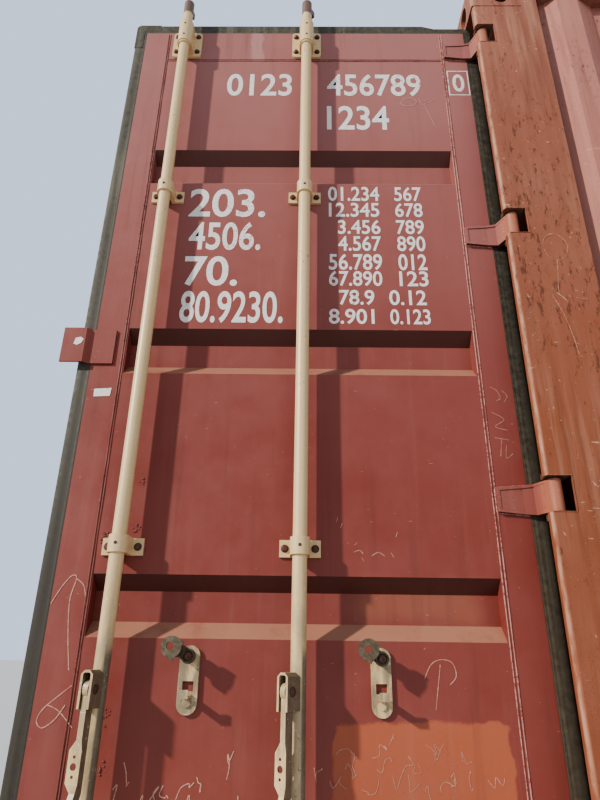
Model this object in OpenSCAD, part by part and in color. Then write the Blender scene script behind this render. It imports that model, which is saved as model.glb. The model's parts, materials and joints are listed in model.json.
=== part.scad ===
// Forty-foot high-cube shipping container, built like the real one: two rear
// posts with hinge slots, a header and a sill close the door end, and
// corrugated sheets stand between the rails.
// Millimetres. X runs along the container with the door end at -X, Y runs
// across it and Z is up. The origin is on the ground, in the middle of the base.
// The right leaf stands open, its outer face turned to -Y. The left leaf is shut.
// A leaf is drawn in leaf space: X from its free edge to its hinge edge, its
// outer face on Y = 0, outward to -Y.

/* [Container] */
// Length over the corner fittings
length = 12192; // [9000:1:13716]
// Width over the corner fittings
width = 2438; // [2300:1:2600]
// Height over the corner fittings
height = 2896; // [2591:1:2960]
// Height of the floor's top face
floor_top = 170; // [165:1:185]

/* [Corner fittings] */
// Length of a corner fitting
fitting_l = 178; // [170:1:190]
// Width of a corner fitting
fitting_w = 162; // [155:1:170]
// Height of a corner fitting
fitting_h = 118; // [110:1:125]
// Thickness of its top and bottom walls
fitting_lid = 28; // [20:1:32]
// Thickness of its upright walls
fitting_wall = 16; // [12:1:20]
// Distance of a lock slot's middle from the container's end
lock_end = 103.5; // [96:0.5:110]
// Distance of a lock slot's middle from the container's side
lock_side = 89.5; // [84:0.5:96]
// Length of a lock slot
lock_slot_l = 124; // [110:1:130]
// Width of a lock slot
lock_slot_w = 63.5; // [50:0.5:66]
// Height of the side and end apertures
aperture_h = 79; // [60:1:84]
// Width of the side apertures
side_aperture_w = 51; // [40:1:60]
// Width of the end apertures
end_aperture_w = 63.5; // [50:0.5:66]

/* [Rear posts] */
// Plate thickness of the outer J section
post_t = 6; // [4:0.5:8]
// Outer radius of the J section's front bend
post_r = 27; // [25:1:32]
// Width of the J section's front face, from the side of the container
post_front = 60; // [50:1:64]
// Depth of the inner channel along the container
channel_l = 113; // [100:1:125]
// Plate thickness of the inner channel
channel_t = 12; // [8:1:14]
// How far the J section's side runs on past the channel
post_tail = 22; // [0:1:30]
// Width of a rear post across the container
post_w = 49; // [42:1:60]
// Setback of the post's front face from the fitting's end face
post_set = 4; // [1:0.5:10]
// Radius of the post's rear corner
post_corner = 9; // [8:1:20]

/* [Rails and walls] */
// Height of the bottom side rail
bottom_rail_h = 162; // [150:1:180]
// Clearance of rails and cross members above the ground
ground_gap = 16; // [12:1:25]
// Side of the square top rail
top_rail = 60; // [50:1:70]
// Wall of the top rail
top_rail_t = 3; // [2:0.5:6]
// Gap between the rails' top and the top of the fittings
top_gap = 8; // [6:1:20]
// Thickness of the wall and roof sheets
sheet_t = 2; // [1.6:0.2:3]
// Depth of the side wall's corrugation
side_depth = 36; // [25:1:40]
// Depth of the front wall's corrugation
front_depth = 45; // [30:1:50]
// Depth of the roof's corrugation
roof_depth = 20; // [12:1:25]
// Height of a cross member
cross_h = 122; // [100:1:126]
// Number of cross members
cross_count = 29; // [20:1:36]
// Thickness of the floor boards
floor_t = 28; // [20:1:32]
// Length of the gooseneck tunnel
tunnel_l = 3315; // [3000:1:3500]
// Width of the gooseneck tunnel
tunnel_w = 1029; // [1000:1:1100]

/* [Leaves] */
// Gap between the frames of the two leaves
leaf_gap = 40; // [34:1:50]
// Distance from a leaf's top edge to the top of the container
leaf_drop = 151; // [145:1:180]
// Gap between a leaf's frame and the sill or the header
edge_gap = 13; // [11:1:20]
// Depth of the leaf's frame
leaf_t = 50; // [40:1:60]
// Height of a leaf's bottom edge above the ground
leaf_z = 180; // [176:1:195]
// Setback of a leaf's outer face from the fitting's end face
leaf_set = 82; // [78:1:100]
// Gap between a leaf and the post beside it
leaf_side_gap = 24; // [20:1:26]
// Width of the upright frame members
stile_w = 90; // [80:1:110]
// Height of the top and bottom frame members
head_h = 140; // [120:1:160]
// Wall of the frame members
stile_t = 3.2; // [2:0.2:5]
// Height of a recess in the panel, at its mouth
recess_h = 138; // [100:1:160]
// Height of the slope on each side of a recess
recess_slope = 35; // [10:1:40]
// Depth of a recess
recess_depth = 36; // [20:1:40]
// Distance between the recesses
recess_pitch = 657.5; // [500:0.5:660]
// How far the rubber lip reaches past the frame
seal_lip = 42; // [30:1:44]
// How far it reaches past the free edge
seal_lip_free = 37; // [25:1:38]
// Thickness of the rubber lip
seal_t = 6; // [4:0.5:6]
// Angle of the right leaf in the photo's pose, 0 is shut
door_open = 90; // [0:1:180]

/* [Hinges] */
// Number of hinges on a leaf
hinge_count = 4; // [3:1:5]
// Distance from a leaf's top edge to its top hinge
hinge_end = 105; // [95:1:125]
// Distance from a leaf's bottom edge to its lowest hinge
hinge_low = 87; // [80:1:110]
// Height of a hinge knuckle
knuckle_h = 78; // [60:1:84]
// Radius of a hinge knuckle
knuckle_r = 17; // [16:0.5:20]
// Radius of a hinge pin
pin_r = 11; // [9:0.5:12]
// Gap above and below a knuckle in its slot
slot_gap = 4; // [3:0.5:8]
// Distance from the pin to the back end of its slot
slot_back = 33; // [30:1:45]

/* [Lock rods] */
// Radius of a lock rod
rod_r = 17; // [15:0.5:19]
// Distance of a rod's axis from the leaf's outer face
rod_out = 45; // [40:1:48]
// Distance of the first rod from the free edge
rod_1_x = 152; // [120:1:200]
// Distance of the second rod from the free edge
rod_2_x = 571; // [540:1:640]
// Angle of the first rod in the photo's pose, 0 points its clevis to the free edge
rod_1_rest = 78; // [0:1:180]
// Angle of the second rod in the photo's pose
rod_2_rest = 55; // [0:1:180]
// How far a rod runs past the leaf's ends
rod_over = 97; // [85:1:105]
// Distance of the rod bearings' middle from the leaf's ends
bearing_z = 71; // [64:1:90]
// Distance of the rod guides' middle from the leaf's ends
guide_z = 755; // [650:1:800]
// Height of the handle's pivot above the leaf's bottom edge
hub_z = 456; // [440:1:500]
// Distance from a rod's axis to the handle's pivot
hub_out = 38; // [34:1:44]
// Length of a handle from its pivot
handle_l = 318; // [280:1:320]
// Thickness of a handle
handle_t = 12; // [8:1:14]
// Distance from a rod to its handle retainer
retainer_dx = 180; // [165:1:190]
// Height of a retainer's middle above the leaf's bottom edge
retainer_z = 473; // [460:1:500]
// Running clearance round pins and rods
run = 0.1; // [0.05:0.05:0.5]
// Reach of a cam's finger from the rod's axis
cam_reach = 38; // [34:1:39]

/* [Hidden] */
$fn = 48;
overlap = 0.01;
door_x = -length / 2;
side_y = -width / 2;
pin_x = door_x + post_set + post_r;
pin_y = side_y + post_r;
face_x = door_x + leaf_set;
lip_gap = 1;
header_x = face_x + 2 * lip_gap + seal_t;
channel_y = side_y + post_w;
door_opening = -2 * channel_y;
leaf_w = (door_opening - leaf_gap) / 2 - leaf_side_gap;
leaf_h = height - leaf_drop - leaf_z;
channel_end_x = header_x + channel_l;
post_end_x = channel_end_x + post_tail;
fitting_in_x = door_x + fitting_l;
fitting_in_y = width / 2 - fitting_w;
top_fit_z = height - fitting_h;
wall_y = side_y + post_t;
leaf_top = leaf_z + leaf_h;
pin_u = leaf_w + (channel_y + leaf_side_gap - pin_y);
pin_v = pin_x - face_x;
rail_top = height - top_gap;
rail_bot = rail_top - top_rail;
sill_top = leaf_z - edge_gap;
header_z = leaf_top + edge_gap;
header_l = 98;
header_back = header_x + header_l;
front_x = length / 2 - post_set;
front_post_l = fitting_l - post_set;
front_rail_l = 80;
front_set = 2;
rail_t = 4;
front_post_w = 139;
front_leg = 52;
wall_end_x = front_x - front_post_l;
front_wall_y = width / 2 - front_post_w;
bottom_rail_top = ground_gap + bottom_rail_h;
floor_bot = floor_top - floor_t;
cross_t = 4;
slot_h = knuckle_h + 2 * slot_gap;
lug_h = 14;
hub_r = 17;
hub_h = 36;
clevis_t = 5;
clevis_play = 5;
handle_w = 24;
catch_z = retainer_z + 47;
catch_out = 24;
catch_t = 8;
catch_l = 58;
catch_far = 64.3;
catch_turn = 120;
catch_bore = 6;
handle_pin_r = 7;

side_start = 30;
side_crest = 72;
side_slope = 68;
side_trough = 70;

steel_red = [0.55, 0.27, 0.23];
post_orange = [0.68, 0.36, 0.24];
wall_pink = [0.66, 0.38, 0.34];
rod_cream = [0.78, 0.73, 0.64];
rubber_green = [0.24, 0.26, 0.23];
catch_brown = [0.42, 0.36, 0.27];
floor_wood = [0.55, 0.40, 0.26];

function hinge_z(i) =
    leaf_z + hinge_low + i * (leaf_h - hinge_low - hinge_end) / (hinge_count - 1);

// Outline of a corrugated sheet from 0 to l, as points of its outer face.
// It lies at 0 on the crests and at depth in the troughs, which are stretched
// a little, so that whole waves fill the length between two flat ends.
function wave_count(l, start, crest, slope, trough) =
    floor((l - 2 * start + trough) / (crest + 2 * slope + trough));
function wave_pitch(l, start, crest, slope, trough) =
    (l - 2 * start - crest - 2 * slope) / (wave_count(l, start, crest, slope, trough) - 1);
function wave(l, start, crest, slope, trough, depth) =
    let (n = wave_count(l, start, crest, slope, trough),
         pitch = wave_pitch(l, start, crest, slope, trough))
    concat([[0, depth]],
        [for (i = [0:n - 1], k = [0:3])
            [start + i * pitch + [0, slope, slope + crest, 2 * slope + crest][k],
             (k == 0 || k == 3) ? depth : 0]],
        [[l, depth]]);
function back_of(points, t) =
    [for (i = [len(points) - 1:-1:0]) points[i] + [0, t]];
function arc(r, from, to, steps) =
    [for (i = [0:steps]) let (a = from + (to - from) * i / steps) r * [cos(a), sin(a)]];

module sheet(l, start, crest, slope, trough, depth, t, h) {
    front = wave(l, start, crest, slope, trough, depth);
    linear_extrude(h) polygon(concat(front, back_of(front, t)));
}

module both_sides() {
    children();
    mirror([0, 1, 0]) children();
}

module both_ends() {
    children();
    mirror([1, 0, 0]) children();
}

module rounded(w, h, r) {
    square([w - 2 * r, h], center = true);
    square([w, h - 2 * r], center = true);
    for (x = [-1, 1], y = [-1, 1]) translate([x * (w / 2 - r), y * (h / 2 - r)]) circle(r);
}

module stadium(l, w) {
    d = (l - w) / 2;
    square([2 * d, w], center = true);
    for (s = [-1, 1]) translate([s * d, 0]) circle(w / 2);
}

// One corner fitting, its outer corner at the origin, running to +X, +Y and
// inward along Z. Its lid with the lock slot lies on Z = 0.
module fitting() {
    difference() {
        cube([fitting_l, fitting_w, fitting_h]);
        translate([fitting_wall, fitting_wall, fitting_lid])
            cube([fitting_l - 2 * fitting_wall, fitting_w - 2 * fitting_wall,
                  fitting_h - fitting_lid - fitting_wall]);
        translate([lock_end, lock_side, -1])
            linear_extrude(fitting_lid + 2) stadium(lock_slot_l, lock_slot_w);
        translate([lock_end, fitting_wall + 1, fitting_h / 2])
            rotate([90, 0, 0]) linear_extrude(fitting_wall + 2)
                rotate(90) stadium(aperture_h, side_aperture_w);
        translate([-1, lock_side, fitting_h / 2])
            rotate([90, 0, 90]) linear_extrude(fitting_wall + 2)
                rotate(90) stadium(aperture_h, end_aperture_w);
    }
}

module bottom_fittings() {
    color(post_orange) both_ends() both_sides()
        translate([door_x, side_y, 0]) fitting();
}

module top_fittings() {
    color(post_orange) both_ends() both_sides()
        translate([door_x, side_y, height]) mirror([0, 0, 1]) fitting();
}

// Plan view of the J section: side face, rounded rear corner, short rear face.
module j_outline() {
    rear_x = pin_x - post_r;
    bend_x = rear_x + post_corner;
    bend_y = side_y + post_corner;
    translate([bend_x, side_y]) square([post_end_x - bend_x, post_t]);
    translate([rear_x, bend_y]) square([post_t, post_front - post_corner]);
    translate([bend_x, bend_y]) intersection() {
        difference() {
            circle(post_corner);
            circle(post_corner - post_t);
        }
        translate([-2 * post_corner, -2 * post_corner]) square(2 * post_corner);
    }
}

module rear_posts() {
    tab_x = fitting_in_x;
    color(post_orange) both_sides() difference() {
        union() {
            translate([0, 0, fitting_h])
                linear_extrude(top_fit_z - fitting_h) j_outline();
            translate([tab_x, side_y, ground_gap])
                cube([post_end_x - tab_x, post_t, rail_top - ground_gap]);
        }
        for (i = [0:hinge_count - 1])
            translate([pin_x - post_r - 1, side_y - 1, hinge_z(i) - slot_h / 2])
                cube([post_r + 1 + slot_back, post_front + 2, slot_h]);
    }
}

module post_channels() {
    color(post_orange) both_sides()
        translate([header_x, wall_y, fitting_h])
            linear_extrude(top_fit_z - fitting_h) difference() {
                square([channel_l, channel_y - wall_y]);
                translate([channel_t, -1])
                    square([channel_l - 2 * channel_t, channel_y - wall_y - channel_t + 1]);
            }
}

// Two lugs and a pin at each slot. The lugs fill the inside of the post's corner.
module hinge_pin_set() {
    side = post_r - post_t;
    bevel = post_corner - post_t;
    for (i = [0:hinge_count - 1]) translate([pin_x, pin_y, hinge_z(i)]) {
        for (s = [-1, 1]) translate([0, 0, s * (slot_h + lug_h) / 2 - lug_h / 2])
            linear_extrude(lug_h)
                polygon([[bevel - side, -side], [slot_back, -side], [slot_back, side],
                         [-side, side], [-side, bevel - side]]);
        cylinder(r = pin_r, h = slot_h + 2 * lug_h, center = true);
    }
}

module hinge_pins() {
    color(catch_brown) both_sides() hinge_pin_set();
}

// A rectangular tube along Y, from -y to y.
module cross_tube(x0, x1, z0, z1, t, y) {
    translate([x0, y, z0]) rotate([90, 0, 0]) linear_extrude(2 * y) difference() {
        square([x1 - x0, z1 - z0]);
        translate([t, t]) square([x1 - x0 - 2 * t, z1 - z0 - 2 * t]);
    }
}

module door_header() {
    color(steel_red) {
        cross_tube(header_x, header_back, top_fit_z, rail_top, 4, fitting_in_y);
        translate([header_x, channel_y, header_z])
            cube([header_back - header_x, door_opening, top_fit_z - header_z]);
    }
}

module door_sill() {
    color(steel_red) {
        cross_tube(header_x, header_back, ground_gap, fitting_h, 4, fitting_in_y);
        translate([header_x, channel_y, fitting_h])
            cube([header_back - header_x, door_opening, sill_top - fitting_h]);
    }
}

// Plan of a keeper round a rod's axis. The lip holds the turned finger.
module keeper_outline() {
    seat = rod_out + header_x - face_x;
    arm_x = -cam_reach - 24;
    translate([arm_x, seat - 8]) square([-arm_x + cam_reach, 8]);
    translate([arm_x, -24]) square([12, 24 + seat]);
    translate([arm_x, -24]) square([-arm_x - rod_r - 8, 12]);
}

module keeper_set() {
    keeper_h = 36;
    for (x = [rod_1_x, rod_2_x])
        for (z = [leaf_z - rod_over + 6, leaf_top + rod_over - 6 - keeper_h])
            translate([x, -rod_out, z]) linear_extrude(keeper_h) keeper_outline();
}

module cam_keepers() {
    color(steel_red) both_sides() hang(0) keeper_set();
}

// Carries a child from leaf space to the right-hand hinge at an opening angle.
module hang(angle) {
    translate([pin_x, pin_y, 0]) rotate(angle - 90)
        translate([-pin_u, -pin_v, 0]) children();
}

module hang_left() {
    mirror([0, 1, 0]) hang(0) children();
}

module front_posts() {
    color(post_orange) both_sides()
        translate([0, 0, fitting_h]) linear_extrude(top_fit_z - fitting_h) {
            translate([wall_end_x, side_y]) square([front_post_l, post_t]);
            translate([wall_end_x, side_y]) square([post_t, 2 * post_t + side_depth]);
            translate([front_x - post_t, side_y]) square([post_t, front_post_w]);
            translate([front_x - front_leg, side_y + front_post_w - post_t])
                square([front_leg, post_t]);
        }
}

// A tube between the fittings and a plate that reaches back to the roof.
module front_top_rail() {
    color(steel_red) {
        cross_tube(front_x - front_rail_l, front_x, top_fit_z, rail_top, rail_t, fitting_in_y);
        translate([wall_end_x, -fitting_in_y, rail_top - rail_t])
            cube([front_x - front_rail_l - wall_end_x + 1, 2 * fitting_in_y, rail_t]);
    }
}

// Two halves, one on each side of the tunnel's mouth.
module front_sill() {
    mouth = tunnel_w / 2 + cross_t;
    color(steel_red) both_sides() {
        translate([0, (fitting_in_y + mouth) / 2, 0])
            cross_tube(front_x - front_rail_l, front_x, ground_gap, fitting_h, rail_t,
                       (fitting_in_y - mouth) / 2);
        translate([front_x - front_rail_l, mouth, fitting_h])
            cube([front_rail_l - front_leg, fitting_in_y - mouth, floor_bot - fitting_h]);
        translate([front_x - front_leg, mouth, fitting_h])
            cube([front_leg, front_wall_y - mouth, floor_bot - fitting_h]);
    }
}

module front_wall() {
    color(wall_pink)
        translate([front_x - front_set, -front_wall_y, floor_bot]) rotate(90)
            sheet(2 * front_wall_y, 52, 110, 18, 104, front_depth, sheet_t,
                  top_fit_z - floor_bot);
}

module top_side_rails() {
    color(steel_red) both_sides()
        translate([fitting_in_x, wall_y, rail_bot])
            rotate([90, 0, 90]) linear_extrude(-2 * fitting_in_x) difference() {
                square(top_rail);
                translate([top_rail_t, top_rail_t]) square(top_rail - 2 * top_rail_t);
            }
}

module bottom_side_rails() {
    color(steel_red) both_sides() difference() {
        translate([fitting_in_x, wall_y, ground_gap])
            rotate([90, 0, 90]) linear_extrude(-2 * fitting_in_x) {
                square([rail_t, bottom_rail_h]);
                square([30, rail_t]);
                translate([0, bottom_rail_h - rail_t]) square([48, rail_t]);
            }
        translate([fitting_in_x - 1, wall_y - 1, fitting_h])
            cube([channel_end_x - fitting_in_x + 1, 100, bottom_rail_h]);
        translate([wall_end_x, wall_y - 1, fitting_h])
            cube([front_post_l, 100, bottom_rail_h]);
    }
}

module side_wall() {
    translate([channel_end_x, wall_y, bottom_rail_top])
        sheet(wall_end_x - channel_end_x, side_start, side_crest, side_slope, side_trough,
              side_depth, sheet_t, rail_bot - bottom_rail_top);
}

module right_side_wall() {
    color(wall_pink) side_wall();
}

module left_side_wall() {
    color(wall_pink) mirror([0, 1, 0]) side_wall();
}

module roof_sheet() {
    roof_y = -wall_y - top_rail;
    color(wall_pink)
        translate([header_back, roof_y, rail_top - 2]) rotate([-90, 0, 0]) mirror([0, 0, 1])
            sheet(wall_end_x - header_back, 45, 91, 13.5, 91, roof_depth, sheet_t, 2 * roof_y);
}

// A cross member is a C section between the bottom rails, and over the tunnel
// only its two outer stubs are left.
module cross_section() {
    square([cross_t, cross_h]);
    square([45, cross_t]);
    translate([0, cross_h - cross_t]) square([45, cross_t]);
}

module cross_members() {
    first = header_back + 60;
    last = -fitting_in_x - 50;
    step = (last - first) / (cross_count - 1);
    y_out = -wall_y - rail_t;
    tunnel_x = front_x - tunnel_l;
    color(steel_red) for (i = [0:cross_count - 1]) {
        x = first + i * step;
        split = x + 45 > tunnel_x;
        inner = split ? tunnel_w / 2 + cross_t : 0;
        for (s = split ? [-1, 1] : [1])
            translate([x, split ? (s > 0 ? y_out : -inner) : y_out, floor_bot - cross_h])
                rotate([90, 0, 0])
                    linear_extrude(split ? y_out - inner : 2 * y_out) cross_section();
    }
}

module gooseneck_tunnel() {
    tunnel_x = front_x - tunnel_l;
    y_in = tunnel_w / 2;
    color(steel_red) {
        translate([tunnel_x, -y_in - cross_t, floor_bot - cross_t])
            cube([tunnel_l, tunnel_w + 2 * cross_t, cross_t]);
        for (s = [-1, 1]) translate([tunnel_x, s > 0 ? y_in : -y_in - cross_t, ground_gap])
            cube([tunnel_l, cross_t, floor_bot - ground_gap]);
    }
}

module floor_boards() {
    color(floor_wood) translate([0, 0, floor_bot]) {
        translate([header_back, channel_y, 0])
            cube([wall_end_x - header_back, door_opening, floor_t]);
        translate([wall_end_x - 1, -front_wall_y, 0])
            cube([front_x - front_set - front_depth - sheet_t - wall_end_x + 1,
                  2 * front_wall_y, floor_t]);
    }
}

// A louvred box high in the second trough from each end.
module ventilators() {
    vent_w = side_trough - 10;
    vent_h = 90;
    vent_drop = 120;
    vent_set = 6;
    run_l = wall_end_x - channel_end_x;
    pitch = wave_pitch(run_l, side_start, side_crest, side_slope, side_trough);
    wave_l = side_crest + 2 * side_slope;
    trough_x = side_start + pitch + (wave_l + pitch) / 2;
    color(wall_pink) both_sides() for (x = [trough_x, run_l - trough_x])
        translate([channel_end_x + x - vent_w / 2, wall_y + vent_set,
                   rail_bot - vent_drop - vent_h])
            cube([vent_w, side_depth - vent_set, vent_h]);
}

// Leaf pieces, in leaf space.
module leaf_frame() {
    for (x = [0, leaf_w - stile_w]) translate([x, 0, leaf_z]) difference() {
        cube([stile_w, leaf_t, leaf_h]);
        translate([stile_t, stile_t, -1])
            cube([stile_w - 2 * stile_t, leaf_t - 2 * stile_t, leaf_h - stile_t + 1]);
    }
    for (z = [leaf_z, leaf_top - head_h]) translate([stile_w - overlap, 0, z]) difference() {
        cube([leaf_w - 2 * stile_w + 2 * overlap, leaf_t, head_h]);
        translate([-1, stile_t, stile_t])
            cube([leaf_w, leaf_t, head_h - 2 * stile_t]);
    }
}

function panel_line(d) =
    let (mid = leaf_z + leaf_h / 2, h = recess_h / 2, s = recess_slope)
    concat([[0, leaf_z + head_h]],
        [for (i = [-1:1], k = [0:3])
            [(k == 0 || k == 3) ? 0 : recess_depth,
             mid + i * recess_pitch + [-h, s - h, h - s, h][k]]],
        [[0, leaf_top - head_h]]);

module leaf_panel() {
    line = panel_line();
    back = [for (i = [len(line) - 1:-1:0]) line[i] + [sheet_t, 0]];
    translate([stile_w, 0, 0]) rotate([90, 0, 90])
        linear_extrude(leaf_w - 2 * stile_w) polygon(concat(line, back));
}

// The rubber: a bead on the frame's edge and a thin lip in front of the post.
// The lip is notched under the corner fitting. On the free edge it is set back
// by deep, so that the lips of the two leaves lie one behind the other.
module seal(deep) {
    bead = 10;
    bead_t = 34;
    free_bead_t = deep > 0 ? bead_t - deep : bead;
    free_reach = deep > 0 ? bead : seal_lip;
    notch = leaf_w - (pin_u - leaf_w) - (fitting_w - post_r) - 8;
    notch_z = top_fit_z - 5;
    module rim(reach, t) {
        translate([0, lip_gap, 0]) difference() {
            translate([0, 0, leaf_z - reach]) cube([leaf_w + reach, t, leaf_h + 2 * reach]);
            translate([-1, -1, leaf_z]) cube([leaf_w + 1, t + 2, leaf_h]);
        }
    }
    rim(bead, bead_t);
    difference() {
        rim(seal_lip, seal_t);
        translate([notch, -1, notch_z]) cube([2 * leaf_w, leaf_t, 2 * seal_lip]);
    }
    translate([-bead, lip_gap + deep, leaf_z - bead])
        cube([bead, free_bead_t, leaf_h + 2 * bead]);
    translate([-seal_lip_free, lip_gap + deep, leaf_z - free_reach])
        cube([seal_lip_free, seal_t, leaf_h + 2 * free_reach]);
}

// A forged hinge blade: a knuckle on the pin and an arm that cranks back to
// the leaf's face, lower at its root than at the knuckle. A shallow pocket
// from the root to the knuckle leaves a raised rim along the arm's edges.
module hinge_blade() {
    drop = -pin_v;
    root = pin_u - leaf_w + 78;
    root_h = 60;
    arm_h = 76;
    arm_x = 34;
    rim = 7;
    pocket = 2.5;
    neck = -knuckle_r - 2;
    face = [[-arm_x, drop - 13], [-60, drop - 10], [-root, drop - 12]];
    floor_line = [for (p = face) p + [0, pocket]];
    // Side view, narrower by m on each edge, between two ends
    module side_view(from, to, m) {
        rotate([90, 0, 0]) linear_extrude(4 * drop, center = true)
            polygon([[from, m - knuckle_h / 2], [-arm_x, m - arm_h / 2],
                     [to, m - root_h / 2], [to, root_h / 2 - m],
                     [-arm_x, arm_h / 2 - m], [from, knuckle_h / 2 - m]]);
    }
    difference() {
        intersection() {
            translate([0, 0, -knuckle_h / 2]) linear_extrude(knuckle_h) {
                circle(knuckle_r);
                polygon(concat([[-knuckle_r, 0]], face,
                    [[-root, drop], [-36, drop], [-22, drop - 6], [0, knuckle_r]]));
            }
            side_view(knuckle_r, -root, 0);
        }
        cylinder(r = pin_r + run, h = knuckle_h + 2, center = true);
        intersection() {
            linear_extrude(knuckle_h, center = true)
                polygon([[neck, 6], floor_line[0], floor_line[1],
                         [rim - root, floor_line[2][1]],
                         [rim - root, -drop], [neck, -drop]]);
            side_view(neck, rim - root, rim);
        }
    }
}

module hinge_blades() {
    for (i = [0:hinge_count - 1])
        translate([pin_u, pin_v, hinge_z(i)]) hinge_blade();
}

// Strap across the middle of the doorway, joggled over the other leaf's edge.
module strap() {
    strap_h = 103;
    strap_t = 6;
    in = 58;
    over = 81;
    rise = 12;
    translate([0, 0, leaf_z + leaf_h / 2 + 8 - strap_h / 2]) linear_extrude(strap_h)
        polygon([[in, 0], [in, -strap_t], [-8, -strap_t], [-20, -strap_t - rise],
                 [-over, -strap_t - rise], [-over, -rise], [-18, -rise], [-6, 0]]);
}

// Bearing at the end of a rod: a plate with a pedestal, a round sleeve and
// the bush that shows at both ends of the sleeve.
module rod_bearing() {
    plate_w = 100;
    plate_h = 120;
    plate_t = 8;
    corner_r = 12;
    sleeve_r = 24;
    sleeve_h = 100;
    bush_r = rod_r + 4;
    bush_h = sleeve_h + 14;
    difference() {
        union() {
            rotate([90, 0, 0]) linear_extrude(plate_t) rounded(plate_w, plate_h, corner_r);
            translate([-sleeve_r, -rod_out, -sleeve_h / 2])
                cube([2 * sleeve_r, rod_out - 1, sleeve_h]);
            translate([0, -rod_out, 0]) cylinder(r = sleeve_r, h = sleeve_h, center = true);
            translate([0, -rod_out, 0]) cylinder(r = bush_r, h = bush_h, center = true);
        }
        translate([0, -rod_out, 0]) cylinder(r = rod_r + run, h = 2 * plate_h, center = true);
    }
}

module rod_bearings() {
    for (x = [rod_1_x, rod_2_x], z = [leaf_z + bearing_z, leaf_top - bearing_z])
        translate([x, 0, z]) rod_bearing();
}

// Guide on the way of a rod: two ears and an arch.
module rod_guide() {
    ear_w = 98;
    ear_h = 40;
    ear_t = 7;
    arch_r = rod_r + 6;
    gap_w = 24;
    difference() {
        union() {
            translate([-ear_w / 2, -ear_t, -ear_h / 2]) cube([ear_w, ear_t, ear_h]);
            translate([-arch_r, -rod_out, -ear_h / 2])
                cube([2 * arch_r, rod_out - 1, ear_h]);
            translate([0, -rod_out, -ear_h / 2]) cylinder(r = arch_r, h = ear_h);
        }
        translate([0, -rod_out, 0]) cylinder(r = rod_r + run, h = 2 * ear_h, center = true);
        translate([-gap_w / 2, gap_w / 2 - rod_out + rod_r, -ear_h])
            cube([gap_w, rod_out, 2 * ear_h]);
    }
}

module rod_guides() {
    for (x = [rod_1_x, rod_2_x], z = [leaf_z + guide_z, leaf_top - guide_z])
        translate([x, 0, z]) rod_guide();
}

// Retainer: a plate with round ends and a slot, a rest for the handle with a
// turned-up lip, and the post of the catch.
module retainer() {
    plate_t = 8;
    plate_l = 138;
    plate_w = 44;
    slot_w = 24;
    slot_l = 20;
    tab_w = 20;
    rest_t = 5;
    rest_z = hub_z - retainer_z - handle_w / 2 - 0.5;
    rest_out = rod_out + handle_t / 2 + 1;
    lip_h = 17;
    boss_r = 9;
    translate([0, 0, retainer_z + leaf_z]) {
        rotate([90, 0, 0]) linear_extrude(plate_t) difference() {
            rotate(90) stadium(plate_l, plate_w);
            translate([-slot_w / 2, -slot_l - 3]) square([slot_w, slot_l]);
        }
        translate([-tab_w / 2, -rest_out - rest_t, rest_z - rest_t])
            cube([tab_w, rest_out + rest_t - plate_t + 1, rest_t]);
        translate([-tab_w / 2, -rest_out - rest_t, rest_z - rest_t])
            cube([tab_w, rest_t, lip_h]);
        translate([0, 1 - plate_t, (plate_w - plate_l) / 2 + 2]) rotate([90, 0, 0])
            cylinder(r = boss_r, h = 5);
    }
    translate([0, 1 - plate_t, catch_z + leaf_z]) rotate([90, 0, 0]) {
        cylinder(r = catch_bore + 3, h = catch_out - plate_t + 1);
        cylinder(r = catch_bore, h = catch_out + catch_t - plate_t + 3);
        translate([0, 0, catch_out + catch_t - plate_t + 1.6])
            cylinder(r = catch_bore + 2, h = 2.4);
    }
}

module retainers() {
    for (x = [rod_1_x, rod_2_x]) translate([x + retainer_dx, 0, 0]) retainer();
}

// Swivel catch, drawn hanging and turned to its angle about the post. A web
// carries its round-ended plate, which covers the ear of the handle that lies
// in the retainer. A seal goes through the plate's hole.
module catch_at(x, angle) {
    eye_r = 15.5;
    arm_w = 26;
    web_z = 18;
    web_t = 6;
    plate_r = 22;
    plate_t = 6;
    hole_r = 8;
    rise = catch_far - catch_out - 0.3;
    translate([x + retainer_dx, -catch_out - 0.3, catch_z + leaf_z]) rotate([0, angle, 0]) {
        rotate([90, 0, 0]) linear_extrude(catch_t) difference() {
            union() {
                circle(eye_r);
                translate([-arm_w / 2, -web_z - web_t]) square([arm_w, web_z + web_t]);
            }
            circle(catch_bore + run);
        }
        translate([-arm_w / 2, -rise - plate_t, -web_z - web_t])
            cube([arm_w, rise + plate_t, web_t]);
        translate([0, -rise, 0]) rotate([90, 0, 0]) linear_extrude(plate_t) difference() {
            union() {
                translate([-plate_r, plate_r - catch_l])
                    square([2 * plate_r, catch_l - plate_r - web_z]);
                translate([0, plate_r - catch_l]) circle(plate_r);
            }
            translate([0, plate_r - catch_l - 2]) circle(hole_r);
        }
    }
}

// End view of the clevis: an upright with bevelled shoulders.
module clevis_view(w, low, high, bevel) {
    polygon([[-w / 2, low], [w / 2, low], [w / 2, high - bevel], [w / 2 - bevel, high],
             [bevel - w / 2, high], [-w / 2, high - bevel]]);
}

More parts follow.
